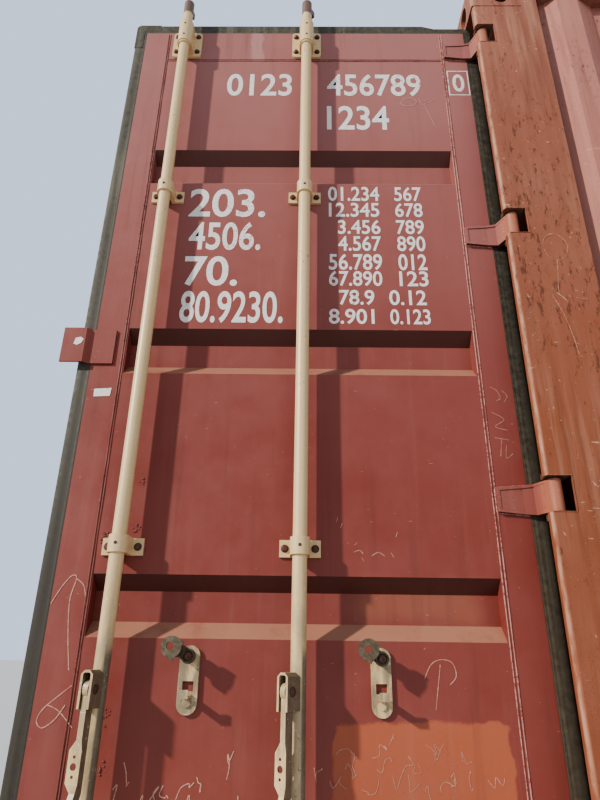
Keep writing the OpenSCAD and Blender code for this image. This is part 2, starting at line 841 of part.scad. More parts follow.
// A lock rod with its two cams and the clevis of its handle, turned by an
// angle from the pose in which the clevis points to the free edge. The clevis
// is closed at its top.
module lock_rod(x, turn) {
    cam_t = 12;
    cam_h = 26;
    tip_h = 9;
    keeper_mid = rod_over - 24;
    top_t = 5;
    slot_w = handle_t + clevis_play;
    fork_w = slot_w + 2 * clevis_t;
    fork_l = hub_out + hub_r;
    bevel = 8;
    translate([x, -rod_out, 0]) rotate(turn) {
        difference() {
            union() {
                translate([0, 0, leaf_z - rod_over + tip_h])
                    cylinder(r = rod_r, h = leaf_h + 2 * (rod_over - tip_h));
                translate([0, 0, leaf_z - rod_over])
                    cylinder(r1 = rod_r - 6, r2 = rod_r, h = tip_h);
                translate([0, 0, leaf_top + rod_over - tip_h])
                    cylinder(r1 = rod_r, r2 = rod_r - 6, h = tip_h);
                for (z = [leaf_z - keeper_mid, leaf_top + keeper_mid])
                    translate([0, -cam_t / 2, z - cam_h / 2]) cube([cam_reach, cam_t, cam_h]);
                translate([-fork_l, 0, leaf_z + hub_z]) rotate([90, 0, 90])
                    linear_extrude(fork_l) clevis_view(fork_w, -hub_h, hub_h, bevel);
            }
            translate([-2 * fork_l, 0, leaf_z + hub_z]) rotate([90, 0, 90])
                linear_extrude(2 * fork_l - rod_r)
                    clevis_view(slot_w, -2 * hub_h, hub_h - top_t, bevel - clevis_t);
        }
        translate([-hub_out, 0, leaf_z + hub_z]) rotate([90, 0, 0])
            cylinder(r = handle_pin_r, h = fork_w, center = true);
    }
}

// A handle of angle section, hanging from its pivot, cranked outward above
// its grip. An ear with three holes widens the outer flange.
module handle() {
    w = handle_w / 2;
    eye_r = 17;
    flange_t = 4;
    crank = 26;
    crank_z = 180;
    grip_z = 235;
    end = handle_l;
    hole_z = 136;
    hole_dz = 17;
    hole_y = 5;
    difference() {
        union() {
            difference() {
                rotate([90, 0, 0]) translate([0, 0, -handle_t / 2]) linear_extrude(handle_t)
                    polygon(concat(arc(eye_r, -45, 225, 18),
                        [[-w, -crank_z], [-w - crank, -grip_z], [-w - crank, 8 - end],
                         [8 - w - crank, -end], [w - crank - 8, -end], [w - crank, 8 - end],
                         [w - crank, -grip_z - 4], [w, -crank_z - 4]]));
                translate([0, handle_t, 0]) rotate([90, 0, 0]) linear_extrude(handle_t)
                    polygon([[flange_t - w, -eye_r - 8], [flange_t - w, -crank_z],
                             [flange_t - w - crank, -grip_z], [flange_t - w - crank, -2 * end],
                             [2 * w, -2 * end], [2 * w, -eye_r - 8]]);
            }
            translate([-w, 0, 0]) rotate([90, 0, 90]) linear_extrude(flange_t)
                polygon([[-6, 46 - hole_z], [-9, 28 - hole_z], [-9, -28 - hole_z],
                         [-6, -44 - hole_z], [6, -44 - hole_z], [18, -28 - hole_z],
                         [18, 28 - hole_z], [6, 46 - hole_z]]);
        }
        rotate([90, 0, 0]) cylinder(r = handle_pin_r + run, h = 2 * handle_t, center = true);
        for (k = [-1:1]) translate([-w - 1, hole_y, k * hole_dz - hole_z]) rotate([0, 90, 0])
            cylinder(r = k == 0 ? 6.6 : 3, h = flange_t + 1.9);
    }
}

module handle_at(x, turn, lift) {
    translate([x, -rod_out, leaf_z + hub_z]) rotate(turn)
        translate([-hub_out, 0, 0]) rotate([0, lift, 0]) handle();
}

module right() {
    hang(door_open) children();
}

module right_leaf_frame() { color(steel_red) right() leaf_frame(); }
module right_leaf_panel() { color(steel_red) right() leaf_panel(); }
module right_seal() { color(rubber_green) right() seal(0); }
module right_hinge_blades() { color(steel_red) right() hinge_blades(); }
module overlap_plate() { color(steel_red) right() strap(); }
module right_rod_bearings() { color(rod_cream) right() rod_bearings(); }
module right_rod_guides() { color(rod_cream) right() rod_guides(); }
module right_retainers() { color(rod_cream) right() retainers(); }
module right_rod_1() { color(rod_cream) right() lock_rod(rod_1_x, rod_1_rest); }
module right_rod_2() { color(rod_cream) right() lock_rod(rod_2_x, rod_2_rest); }
module right_handle_1() { color(rod_cream) right() handle_at(rod_1_x, rod_1_rest, 0); }
module right_handle_2() { color(rod_cream) right() handle_at(rod_2_x, rod_2_rest, 0); }
module right_catch_1() { color(catch_brown) right() catch_at(rod_1_x, catch_turn); }
module right_catch_2() { color(catch_brown) right() catch_at(rod_2_x, catch_turn); }
module left_leaf_frame() { color(steel_red) hang_left() leaf_frame(); }
module left_leaf_panel() { color(steel_red) hang_left() leaf_panel(); }
module left_seal() { color(rubber_green) hang_left() seal(12); }
module left_hinge_blades() { color(steel_red) hang_left() hinge_blades(); }
module left_rod_bearings() { color(rod_cream) hang_left() rod_bearings(); }
module left_rod_guides() { color(rod_cream) hang_left() rod_guides(); }
module left_retainers() { color(rod_cream) hang_left() retainers(); }
module left_rods() {
    color(rod_cream) hang_left() for (x = [rod_1_x, rod_2_x]) lock_rod(x, 180);
}
module left_handles() {
    color(rod_cream) hang_left() for (x = [rod_1_x, rod_2_x]) handle_at(x, 180, 90);
}
module left_catches() {
    color(catch_brown) hang_left() for (x = [rod_1_x, rod_2_x]) catch_at(x, 0);
}

bottom_fittings();
top_fittings();
rear_posts();
post_channels();
hinge_pins();
door_header();
door_sill();
cam_keepers();
front_posts();
front_top_rail();
front_sill();
front_wall();
top_side_rails();
bottom_side_rails();
right_side_wall();
left_side_wall();
roof_sheet();
cross_members();
gooseneck_tunnel();
floor_boards();
ventilators();
right_leaf_frame();
right_leaf_panel();
right_seal();
right_hinge_blades();
overlap_plate();
right_rod_bearings();
right_rod_guides();
right_retainers();
right_rod_1();
right_rod_2();
right_handle_1();
right_handle_2();
right_catch_1();
right_catch_2();
left_leaf_frame();
left_leaf_panel();
left_seal();
left_hinge_blades();
left_rod_bearings();
left_rod_guides();
left_retainers();
left_rods();
left_handles();
left_catches();
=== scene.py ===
import json
import math
import random

import bmesh
import bpy
from mathutils import Matrix, Vector


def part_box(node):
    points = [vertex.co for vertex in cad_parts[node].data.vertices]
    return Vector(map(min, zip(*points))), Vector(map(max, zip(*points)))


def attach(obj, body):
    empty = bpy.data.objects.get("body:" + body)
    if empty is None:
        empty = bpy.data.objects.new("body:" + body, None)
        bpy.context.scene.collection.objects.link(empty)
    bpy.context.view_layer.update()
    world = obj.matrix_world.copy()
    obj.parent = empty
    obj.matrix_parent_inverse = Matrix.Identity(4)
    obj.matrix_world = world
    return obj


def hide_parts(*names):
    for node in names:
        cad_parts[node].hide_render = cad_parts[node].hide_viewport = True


# A forty-foot high-cube container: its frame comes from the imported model, and this
# script gives it paint, rust, rubber, bolts, welds and worn marks. Metres throughout.

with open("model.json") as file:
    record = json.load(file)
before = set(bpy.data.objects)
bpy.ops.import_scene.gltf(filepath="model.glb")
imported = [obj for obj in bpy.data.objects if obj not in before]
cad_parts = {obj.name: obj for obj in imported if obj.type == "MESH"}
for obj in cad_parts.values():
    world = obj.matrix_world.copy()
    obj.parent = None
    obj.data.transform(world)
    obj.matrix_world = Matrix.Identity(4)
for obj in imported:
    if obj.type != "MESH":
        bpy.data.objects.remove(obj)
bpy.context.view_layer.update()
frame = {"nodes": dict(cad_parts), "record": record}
print("frame loaded")

leafLow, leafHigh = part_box("right_leaf_frame")
shutLow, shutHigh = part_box("left_leaf_frame")
leafWidth = leafHigh.x - leafLow.x
leafBottom, leafTop = leafLow.z, leafHigh.z
mm = 0.001

# Leaf space: along from the free edge, out of the outer face, up from the ground
spaces = {
    "right_leaf": Matrix(((1, 0, 0, leafLow.x), (0, -1, 0, leafLow.y),
                          (0, 0, 1, 0), (0, 0, 0, 1))),
    "container": Matrix(((0, -1, 0, shutLow.x), (1, 0, 0, shutLow.y),
                         (0, 0, 1, 0), (0, 0, 0, 1))),
    "world": Matrix.Identity(4),
}


def addObject(name, data):
    made = bpy.data.objects.new(name, data)
    bpy.context.scene.collection.objects.link(made)
    return made


# Camera and light

cameraView = {
    "place": (-6.6520, -2.5658, 0.7073),   # about 1.4 m in front of the open leaf
    "pitch": 23.248,                       # degrees upward
    "yaw": 0.774,
    "roll": 0.833,
    "lens": 26.613,                        # on the sensor below
    "sensor": 36,                          # along the image's height
    "clip": (0.02, 200),
}


def makeCamera(view):
    pitch, yaw, roll = (math.radians(view[k]) for k in ("pitch", "yaw", "roll"))
    turn = (Matrix.Rotation(yaw, 4, "Z") @ Matrix.Rotation(math.pi / 2 + pitch, 4, "X")
            @ Matrix.Rotation(roll, 4, "Z"))
    lensData = bpy.data.cameras.new("camera")
    lensData.lens = view["lens"]
    lensData.sensor_width = view["sensor"]
    lensData.clip_start, lensData.clip_end = view["clip"]
    cameraObject = addObject("camera", lensData)
    cameraObject.matrix_world = Matrix.Translation(view["place"]) @ turn
    bpy.context.scene.camera = cameraObject


stageLook = {
    "keyEnergy": 4.0,
    "keySoftness": 2.0,                    # degrees, a large soft source
    "keyWay": (1.55, 1.0, -0.95),          # the light travels right, to the leaf and down
    "fillEnergy": 0.3,
    "fillSoftness": 30,
    "fillWay": (-0.8, 1.0, -0.5),
    "lampColour": (1.0, 0.96, 0.9),
    "skyColour": (0.68, 0.79, 0.96, 1),
    "skyStrength": 0.66,                   # on the object
    "backdropStrength": 1.0,               # seen behind it
    "floorColour": (0.58, 0.57, 0.55, 1),
    "floorRough": 0.8,
    "floorSize": 90,
    "floorHeight": -0.002,
    "contrast": "AgX - Medium High Contrast",
}


def makeStage(look):
    for lamp in ("key", "fill"):
        data = bpy.data.lights.new(lamp + "Light", "SUN")
        data.energy = look[lamp + "Energy"]
        data.angle = math.radians(look[lamp + "Softness"])
        data.color = look["lampColour"]
        light = addObject(lamp + "Light", data)
        light.rotation_mode = "QUATERNION"
        light.rotation_quaternion = Vector(look[lamp + "Way"]).to_track_quat("-Z", "Y")
    world = bpy.data.worlds.new("studioSky")
    world.use_nodes = True
    tree = world.node_tree
    background = tree.nodes["Background"]
    backdrop = tree.nodes.new("ShaderNodeBackground")
    for part, strength in ((background, "skyStrength"), (backdrop, "backdropStrength")):
        part.inputs["Color"].default_value = look["skyColour"]
        part.inputs["Strength"].default_value = look[strength]
    both = tree.nodes.new("ShaderNodeMixShader")
    rays = tree.nodes.new("ShaderNodeLightPath")
    tree.links.new(rays.outputs["Is Camera Ray"], both.inputs[0])
    tree.links.new(background.outputs[0], both.inputs[1])
    tree.links.new(backdrop.outputs[0], both.inputs[2])
    tree.links.new(both.outputs[0], tree.nodes["World Output"].inputs["Surface"])
    bpy.context.scene.world = world
    bpy.context.scene.view_settings.look = look["contrast"]
    half = look["floorSize"] / 2
    floorMesh = bpy.data.meshes.new("studioFloor")
    corners = [(x, y, look["floorHeight"]) for x, y in
               ((-half, -half), (half, -half), (half, half), (-half, half))]
    floorMesh.from_pydata(corners, [], [(0, 1, 2, 3)])
    floorLook = bpy.data.materials.new("floorPaint")
    floorLook.use_nodes = True
    shader = floorLook.node_tree.nodes["Principled BSDF"]
    shader.inputs["Base Color"].default_value = look["floorColour"]
    shader.inputs["Roughness"].default_value = look["floorRough"]
    floorMesh.materials.append(floorLook)
    addObject("studioFloor", floorMesh)


makeCamera(cameraView)
makeStage(stageLook)
print("camera, lights and floor made")


# Shader groups: each puts out masks or heights that the materials mix themselves

def newGroup(name, values, outputs):
    group = bpy.data.node_groups.new(name, "ShaderNodeTree")
    group.interface.new_socket("Vector", in_out="INPUT", socket_type="NodeSocketVector")
    for label, value in values.items():
        socket = group.interface.new_socket(label, in_out="INPUT",
                                            socket_type="NodeSocketFloat")
        socket.default_value = value
    for label in outputs:
        group.interface.new_socket(label, in_out="OUTPUT", socket_type="NodeSocketFloat")
    entry = group.nodes.new("NodeGroupInput").outputs
    return group, entry["Vector"], entry


def addNode(tree, kind, feeds, **settings):
    # feeds: what each input gets, either another node's output or a fixed value
    node = tree.nodes.new(kind)
    for key, value in settings.items():
        setattr(node, key, value)
    for key, value in feeds.items():
        if isinstance(value, bpy.types.NodeSocket):
            tree.links.new(value, node.inputs[key])
        else:
            node.inputs[key].default_value = value
    return node.outputs


def doMath(tree, operation, first, second=0.0, clamp=False):
    return addNode(tree, "ShaderNodeMath", {0: first, 1: second},
                   operation=operation, use_clamp=clamp)[0]


def times(tree, first, second):
    return doMath(tree, "MULTIPLY", first, second)


def plus(tree, first, second, clamp=False):
    return doMath(tree, "ADD", first, second, clamp)


def minus(tree, first, second, clamp=False):
    return doMath(tree, "SUBTRACT", first, second, clamp)


def ramp(tree, value, low, high, kind="LINEAR"):
    return addNode(tree, "ShaderNodeMapRange",
                   {"Value": value, "From Min": low, "From Max": high},
                   interpolation_type=kind)[0]


def stepUp(tree, value, low, high):
    return ramp(tree, value, low, high, "SMOOTHSTEP")


def stepDown(tree, value, low, high):
    return minus(tree, 1.0, stepUp(tree, value, low, high))


def windowOf(tree, value, low, high, soft):
    rise = stepUp(tree, value, low - soft, low + soft)
    fall = stepUp(tree, value, high - soft, high + soft)
    return minus(tree, rise, fall, True)


def mapped(tree, vector, **change):
    return addNode(tree, "ShaderNodeMapping", {"Vector": vector, **change})[0]


def split(tree, vector):
    return addNode(tree, "ShaderNodeSeparateXYZ", {0: vector})


def noise(tree, vector, scale, detail, roughness):
    return addNode(tree, "ShaderNodeTexNoise",
                   {"Vector": vector, "Scale": scale, "Detail": detail,
                    "Roughness": roughness})["Fac"]


def makeCloudGroup():
    group, spot, entry = newGroup("paintClouds", {"Scale": 1.0}, ("Broad", "Mottle"))
    broad = noise(group, spot, entry["Scale"], 3.0, 0.6)
    finer = times(group, entry["Scale"], 9.0)
    mottle = noise(group, spot, finer, 5.0, 0.65)
    addNode(group, "NodeGroupOutput", {"Broad": stepUp(group, broad, 0.35, 0.68),
                                       "Mottle": stepUp(group, mottle, 0.3, 0.75)})
    return group


def makeStreakGroup():
    group, spot, entry = newGroup("rainStreaks", {"Width": 30.0, "Share": 0.5}, ("Streaks",))
    tall = mapped(group, spot, Scale=(1.0, 1.0, 0.05))
    fine = noise(group, tall, entry["Width"], 4.0, 0.6)
    patchy = noise(group, spot, 2.2, 3.0, 0.5)
    limit = minus(group, 1.0, entry["Share"])
    runs = ramp(group, fine, limit, plus(group, limit, 0.16))
    addNode(group, "NodeGroupOutput",
            {"Streaks": times(group, runs, stepUp(group, patchy, 0.35, 0.7))})
    return group


def makeChipGroup():
    group, spot, entry = newGroup("paintChips", {"Scale": 40.0, "Share": 0.3}, ("Chips", "Stain"))
    coarse = noise(group, spot, entry["Scale"], 6.0, 0.7)
    regions = noise(group, spot, 3.1, 2.0, 0.5)
    limit = minus(group, 0.86, times(group, entry["Share"], plus(group, regions, 0.1)))
    crisp = plus(group, limit, 0.025)
    wide = minus(group, limit, 0.07)
    addNode(group, "NodeGroupOutput", {"Chips": ramp(group, coarse, limit, crisp),
                                       "Stain": ramp(group, coarse, wide, crisp)})
    return group


def makeScratchGroup():
    group, spot, entry = newGroup("fineScratches", {"Scale": 60.0, "Share": 0.3}, ("Scratches",))
    total = None
    for turn, squeeze in ((0.45, 0.045), (-0.8, 0.06), (1.35, 0.05)):
        leaned = mapped(group, spot, Rotation=(turn, turn, 0.3 * turn))
        drawn = mapped(group, leaned, Scale=(1.0, 1.0, squeeze))
        wave = noise(group, drawn, entry["Scale"], 2.0, 0.4)
        limit = minus(group, 0.84, times(group, entry["Share"], 0.2))
        lines = ramp(group, wave, limit, plus(group, limit, 0.02))
        total = lines if total is None else doMath(group, "MAXIMUM", total, lines)
    addNode(group, "NodeGroupOutput", {"Scratches": total})
    return group


def makePitGroup():
    group, spot, entry = newGroup("pitting", {"Scale": 300.0, "Share": 0.3}, ("Height", "Pits"))
    cells = addNode(group, "ShaderNodeTexVoronoi",
                    {"Vector": spot, "Scale": entry["Scale"],
                     "Randomness": 1.0}, feature="F1")["Distance"]
    upright = mapped(group, spot, Scale=(1.0, 1.0, 0.3))
    limit = minus(group, 0.64, times(group, entry["Share"], 0.2))
    where = ramp(group, noise(group, upright, 11.0, 4.0, 0.6), limit,
                 plus(group, limit, 0.1))
    pits = times(group, stepDown(group, cells, 0.12, 0.3), where)
    grain = noise(group, spot, 90.0, 6.0, 0.7)
    height = minus(group, times(group, grain, 0.5), pits)
    addNode(group, "NodeGroupOutput", {"Height": height, "Pits": pits})
    return group


effects = {
    "clouds": makeCloudGroup(),
    "streaks": makeStreakGroup(),
    "chips": makeChipGroup(),
    "scratches": makeScratchGroup(),
    "pits": makePitGroup(),
}


def useGroup(tree, effect, vector, **values):
    return addNode(tree, "ShaderNodeGroup", {"Vector": vector, **values},
                   node_tree=effects[effect])


def layPaints(tree, colour, *rows):
    # rows: (mask, how strong, paint), each laid over the colour so far
    for mask, amount, paint in rows:
        share = times(tree, mask, amount)
        colour = addNode(tree, "ShaderNodeMix", {0: share, 6: colour, 7: paint},
                         data_type="RGBA")[2]
    return colour


def startMaterial(name):
    material = bpy.data.materials.new(name)
    material.use_nodes = True
    tree = material.node_tree
    return material, tree, addNode(tree, "ShaderNodeTexCoord", {})["Object"]


def facingOf(tree):
    return split(tree, addNode(tree, "ShaderNodeTexCoord", {})["Normal"])


def endMaterial(tree, colour, wear, gloss, relief=None, strength=0.0, depth=0.0):
    # gloss: the roughness where there is no wear, and where there is most
    shader = tree.nodes["Principled BSDF"]
    tree.links.new(colour, shader.inputs["Base Color"])
    level = addNode(tree, "ShaderNodeMapRange",
                    {"Value": wear, "To Min": gloss[0], "To Max": gloss[1]})[0]
    tree.links.new(level, shader.inputs["Roughness"])
    if relief is not None:
        bump = addNode(tree, "ShaderNodeBump",
                       {"Height": relief, "Strength": strength, "Distance": depth})
        tree.links.new(bump["Normal"], shader.inputs["Normal"])
    return shader


# Painted steel in its several colours. For streaks, chips, scratches and pits the
# pair says how fine they are, and how much there is of them.
# In the paints, the darkest colour and its mix are a painted shade laid on faces that look down
paintLooks = {
    "leafPaint": {
        "fresh": (0.205, 0.040, 0.027, 1), "faded": (0.33, 0.135, 0.118, 1),
        "stain": (0.085, 0.026, 0.017, 1), "rust": (0.10, 0.042, 0.026, 1),
        "scuff": (0.42, 0.22, 0.18, 1), "shadeAndGrime": (0.045, 0.014, 0.010, 1),
        "cloudScale": 1.3, "broadMix": 0.14, "mottleMix": 0.10,
        "streaks": (30.0, 0.46), "streakMix": 0.3, "paleStreakMix": 0.10,
        "chips": (150.0, 0.24), "chipMix": 0.6, "chipStretch": 1.0,
        "scratches": (170.0, 0.34), "scratchMix": 0.5,
        "pits": (300.0, 0.1),
        "rough": (0.42, 0.62), "bump": 0.10, "fadeUp": (1.0, 2.75, 0.95), "edgeWearAndHighlight": 0.0,
        "underShadeMix": 0.75, "dust": (0.42, 0.225, 0.14, 1), "dustMix": 0.65, "patches": True,
    },
    "postPaint": {
        "fresh": (0.225, 0.061, 0.021, 1), "faded": (0.33, 0.130, 0.084, 1),
        "stain": (0.15, 0.042, 0.016, 1), "rust": (0.085, 0.032, 0.014, 1),
        "scuff": (0.60, 0.38, 0.26, 1), "shadeAndGrime": (0.10, 0.030, 0.014, 1),
        "cloudScale": 2.0, "broadMix": 0.25, "mottleMix": 0.22,
        "streaks": (42.0, 0.54), "streakMix": 0.5, "paleStreakMix": 0.2,
        "chips": (80.0, 0.45), "chipMix": 0.7, "chipStretch": 0.3,
        "scratches": (130.0, 0.5), "scratchMix": 0.5,
        "pits": (300.0, 1.0),
        "rough": (0.45, 0.72), "bump": 0.16, "fadeUp": (1.3, 2.9, 0.8), "edgeWearAndHighlight": 0.6,
        "underShadeMix": 0.6, "dust": (0.42, 0.26, 0.17, 1), "dustMix": 0.4, "patches": False,
    },
    "wallPaint": {
        "fresh": (0.34, 0.11, 0.075, 1), "faded": (0.44, 0.20, 0.155, 1),
        "stain": (0.17, 0.06, 0.04, 1), "rust": (0.13, 0.048, 0.025, 1),
        "scuff": (0.55, 0.34, 0.27, 1), "shadeAndGrime": (0.10, 0.035, 0.022, 1),
        "cloudScale": 0.8, "broadMix": 0.4, "mottleMix": 0.2,
        "streaks": (24.0, 0.5), "streakMix": 0.5, "paleStreakMix": 0.2,
        "chips": (70.0, 0.36), "chipMix": 0.75, "chipStretch": 0.6,
        "scratches": (60.0, 0.3), "scratchMix": 0.4,
        "pits": (200.0, 0.5),
        "rough": (0.45, 0.7), "bump": 0.12, "fadeUp": (0.2, 2.8, 0.4), "edgeWearAndHighlight": 0.0,
        "underShadeMix": 0.5, "dust": (0.40, 0.29, 0.21, 1), "dustMix": 0.45, "patches": False,
    },
}
paintLooks["bladePaint"] = dict(
    paintLooks["leafPaint"], fresh=(0.225, 0.056, 0.034, 1), scuff=(0.58, 0.38, 0.30, 1),
    chips=(120.0, 0.30), scratches=(200.0, 0.5), dustMix=0.6,
    fadeUp=(0.4, 2.2, 0.72), patches=False, knuckle=(0.38, 0.14, 0.075, 1))

# Places on the open leaf: along, up, their soft rim, how strong, and the paint there
leafPatches = [
    ((0.652, 1.022), (0.17, 0.570), 0.004, 0.85, (0.41, 0.115, 0.052, 1)),   # touched up
    ((0.382, 0.420), (2.607, 2.747), 0.006, 0.55, (0.46, 0.26, 0.23, 1)),
    ((0.70, 0.99), (0.775, 0.86), 0.03, 0.40, (0.33, 0.13, 0.07, 1)),
    ((0.10, 0.98), (0.17, 0.50), 0.12, 0.30, (0.27, 0.075, 0.045, 1)),
    ((-0.05, 0.070), (0.1, 1.2), 0.02, 0.12, (0.33, 0.13, 0.11, 1)),
]

# Where the paint of the blades and of the posts' edges has come off, in metres; the pale line
# along the posts' rounded corners is also a painted highlight
wearPlaces = {
    "pin": (6.065, 1.192), "pinRound": (0.022, 0.045),
    "edgeEnd": (6.082, 6.094), "edgeSide": (1.204, 1.214),
    "sway": 0.07,                          # how far the patches' rims wander
}


def layPatches(tree, colour, coords, place, facing):
    ragged = times(tree, stepUp(tree, facing["Y"], -0.1, -0.4),
                   stepUp(tree, noise(tree, coords, 6.0, 5.0, 0.65), 0.22, 0.36))
    sway = times(tree, noise(tree, coords, 8.0, 5.0, 0.6), wearPlaces["sway"])
    swayX = plus(tree, place["X"], minus(tree, sway, wearPlaces["sway"] / 2))
    swayZ = minus(tree, place["Z"], minus(tree, sway, wearPlaces["sway"] / 2))
    for along, up, soft, amount, paint in leafPatches:
        across = windowOf(tree, swayX, leafLow.x + along[0], leafLow.x + along[1], soft)
        upright = windowOf(tree, swayZ, up[0], up[1], soft)
        patch = times(tree, times(tree, across, upright), ragged)
        colour = layPaints(tree, colour, (patch, amount, paint))
    return colour


def nearPins(tree, place):
    pinX = plus(tree, place["X"], wearPlaces["pin"][0])
    pinY = minus(tree, doMath(tree, "ABSOLUTE", place["Y"]), wearPlaces["pin"][1])
    away = doMath(tree, "SQRT", plus(tree, times(tree, pinX, pinX), times(tree, pinY, pinY)))
    return stepDown(tree, away, *wearPlaces["pinRound"])


def alongEdges(tree, coords, place):
    atEnd = stepUp(tree, doMath(tree, "ABSOLUTE", place["X"]), *wearPlaces["edgeEnd"])
    atSide = stepUp(tree, doMath(tree, "ABSOLUTE", place["Y"]), *wearPlaces["edgeSide"])
    drawn = mapped(tree, coords, Scale=(1, 1, 0.25))
    flaked = stepUp(tree, noise(tree, drawn, 60.0, 4.0, 0.6), 0.3, 0.6)
    return times(tree, times(tree, atEnd, atSide), flaked)


def makePaint(name, look):
    material, tree, coords = startMaterial(name)
    clouds = useGroup(tree, "clouds", coords, Scale=look["cloudScale"])
    width, share = look["streaks"]
    streaks = useGroup(tree, "streaks", coords, Width=width, Share=share)
    shifted = mapped(tree, coords, Location=(3.1, 1.7, 0.6))
    paleStreaks = useGroup(tree, "streaks", shifted, Width=width * 1.4, Share=share)
    drawn = mapped(tree, coords, Scale=(1, 1, look["chipStretch"]))
    chips, scratches, pits = (
        useGroup(tree, effect, vector, Scale=look[effect][0], Share=look[effect][1])
        for effect, vector in (("chips", drawn), ("scratches", coords), ("pits", coords)))
    place = split(tree, coords)
    low, high, strength = look["fadeUp"]
    upper = times(tree, stepUp(tree, place["Z"], low, high), strength)
    worn = plus(tree, upper, times(tree, clouds["Broad"], look["broadMix"]), True)
    colour = layPaints(tree, look["fresh"], (worn, 1.0, look["faded"]))
    facing = facingOf(tree)
    if look["patches"]:
        colour = layPatches(tree, colour, coords, place, facing)
    if "knuckle" in look:
        colour = layPaints(tree, colour, (nearPins(tree, place), 0.8, look["knuckle"]))
    colour = layPaints(
        tree, colour,
        (clouds["Mottle"], look["mottleMix"], look["faded"]),
        (streaks[0], look["streakMix"], look["stain"]),
        (paleStreaks[0], look["paleStreakMix"], look["scuff"]),
        (chips["Stain"], 0.3, look["stain"]),
        (scratches[0], look["scratchMix"], look["scuff"]),
        (chips["Chips"], look["chipMix"], look["rust"]),
        (pits["Pits"], 0.75, look["rust"]))
    # The posts' rounded corners get a pale ragged line: worn paint, and a painted highlight on
    # the bend
    if look["edgeWearAndHighlight"]:
        colour = layPaints(tree, colour, (alongEdges(tree, coords, place),
                                          look["edgeWearAndHighlight"], look["scuff"]))
    # Painted shade: faces that look down are darkened, standing in for the shade under the
    # recesses' overhangs and other ledges; faces that look up get patchy settled dust
    down = times(tree, facing["Z"], -1.0)
    settled = times(tree, stepUp(tree, down, -0.25, -0.75),
                    stepUp(tree, noise(tree, coords, 12.0, 5.0, 0.65), 0.12, 0.52))
    colour = layPaints(
        tree, colour,
        (stepUp(tree, down, 0.2, 0.75), look["underShadeMix"], look["shadeAndGrime"]),
        (settled, look["dustMix"], look["dust"]))
    wear = doMath(tree, "MAXIMUM", chips["Stain"], clouds["Mottle"])
    relief = minus(tree, pits["Height"], times(tree, chips["Chips"], 0.6))
    shader = endMaterial(tree, colour, wear, look["rough"], relief, look["bump"], 0.002)
    shader.inputs["Specular IOR Level"].default_value = 0.35
    return material


rodLooks = {
    "rodPaint": {
        "paint": (0.665, 0.482, 0.25, 1), "bare": (0.29, 0.215, 0.125, 1),
        "paintedShade": (0.105, 0.080, 0.053, 1),            # painted shade on the sides that face away from the key light
        "rust": (0.11, 0.06, 0.035, 1), "tip": (0.10, 0.045, 0.040, 1),
        "dull": (0.42, 0.36, 0.28, 1), "stain": (0.33, 0.24, 0.16, 1),
        "scuff": (0.74, 0.66, 0.52, 1),
        "wornBelow": (0.62, 0.98), "wear": 0.7,        # the lower parts are worn most
        "shadeBelow": 0.735, "chipShare": 0.32,
        "tipAbove": 2.772,                             # the cams have lost their paint
    },
}
rodLooks["retainerPaint"] = dict(
    rodLooks["rodPaint"], bare=(0.21, 0.165, 0.105, 1), wornBelow=(0.9, 1.4), wear=0.9,
    shadeBelow=0.1, chipShare=0.36)


def makeRodPaint(name, look):
    material, tree, coords = startMaterial(name)
    clouds = useGroup(tree, "clouds", coords, Scale=6.0)
    chips = useGroup(tree, "chips", coords, Scale=130.0, Share=look["chipShare"])
    scratches = useGroup(tree, "scratches", coords, Scale=190.0, Share=0.6)
    pits = useGroup(tree, "pits", coords, Scale=380.0)
    up = split(tree, coords)["Z"]
    lower = stepDown(tree, up, *look["wornBelow"])
    drawn = mapped(tree, coords, Scale=(1, 1, 0.3))
    ragged = stepUp(tree, noise(tree, drawn, 38.0, 5.0, 0.65), 0.36, 0.62)
    below, above = look["shadeBelow"], look["tipAbove"]
    # Painted shade: below that height the sides facing away from the key light are darkened
    shadedSide = times(tree, stepUp(tree, facingOf(tree)["X"], 0.35, 0.6),
                   stepDown(tree, up, below - 0.045, below))
    brink = plus(tree, up, times(tree, noise(tree, coords, 55.0, 4.0, 0.6), 0.03))
    tips = stepUp(tree, brink, above + 0.010, above + 0.018)
    colour = layPaints(
        tree, look["paint"],
        (times(tree, lower, ragged), look["wear"], look["bare"]),
        (shadedSide, 0.9, look["paintedShade"]),
        (clouds["Mottle"], 0.18, look["dull"]),
        (chips["Stain"], 0.35, look["stain"]),
        (chips["Chips"], 1.0, look["rust"]),
        (pits["Pits"], 0.8, look["rust"]),
        (scratches[0], 0.45, look["scuff"]),
        (tips, 0.9, look["tip"]))
    endMaterial(tree, colour, chips["Stain"], (0.4, 0.7), pits["Height"], 0.15, 0.0015)
    return material


# Bare steel: dark, light and rusty
steelLooks = {
    "catchSteel": ((0.080, 0.062, 0.037, 1), (0.175, 0.140, 0.090, 1),
                   (0.11, 0.055, 0.030, 1)),
    "boltSteel": ((0.075, 0.035, 0.025, 1), (0.15, 0.075, 0.05, 1),
                  (0.10, 0.035, 0.018, 1)),
}


def makeSteel(name, dark, light, rust):
    material, tree, coords = startMaterial(name)
    clouds = useGroup(tree, "clouds", coords, Scale=14.0)
    chips = useGroup(tree, "chips", coords, Scale=120.0, Share=0.5)
    pits = useGroup(tree, "pits", coords, Scale=420.0)
    colour = layPaints(
        tree, dark, (clouds["Mottle"], 1.0, light),
        (chips["Stain"], 1.0, rust))
    shader = endMaterial(tree, colour, clouds["Broad"], (0.45, 0.78), pits["Height"], 0.3,
                         0.001)
    shader.inputs["Metallic"].default_value = 0.25
    return material


rubberLook = {
    "dark": (0.036, 0.030, 0.019, 1), "light": (0.085, 0.073, 0.048, 1),
    # The near-black is grime low on the free edge, and a painted shade on the lip's end beside
    # the post
    "streak": (0.17, 0.15, 0.10, 1), "shadeAndGrime": (0.020, 0.014, 0.009, 1),
    "dust": (0.15, 0.105, 0.065, 1),
    "below": (0.6, 1.6),                   # heights up to which it is dirty
}


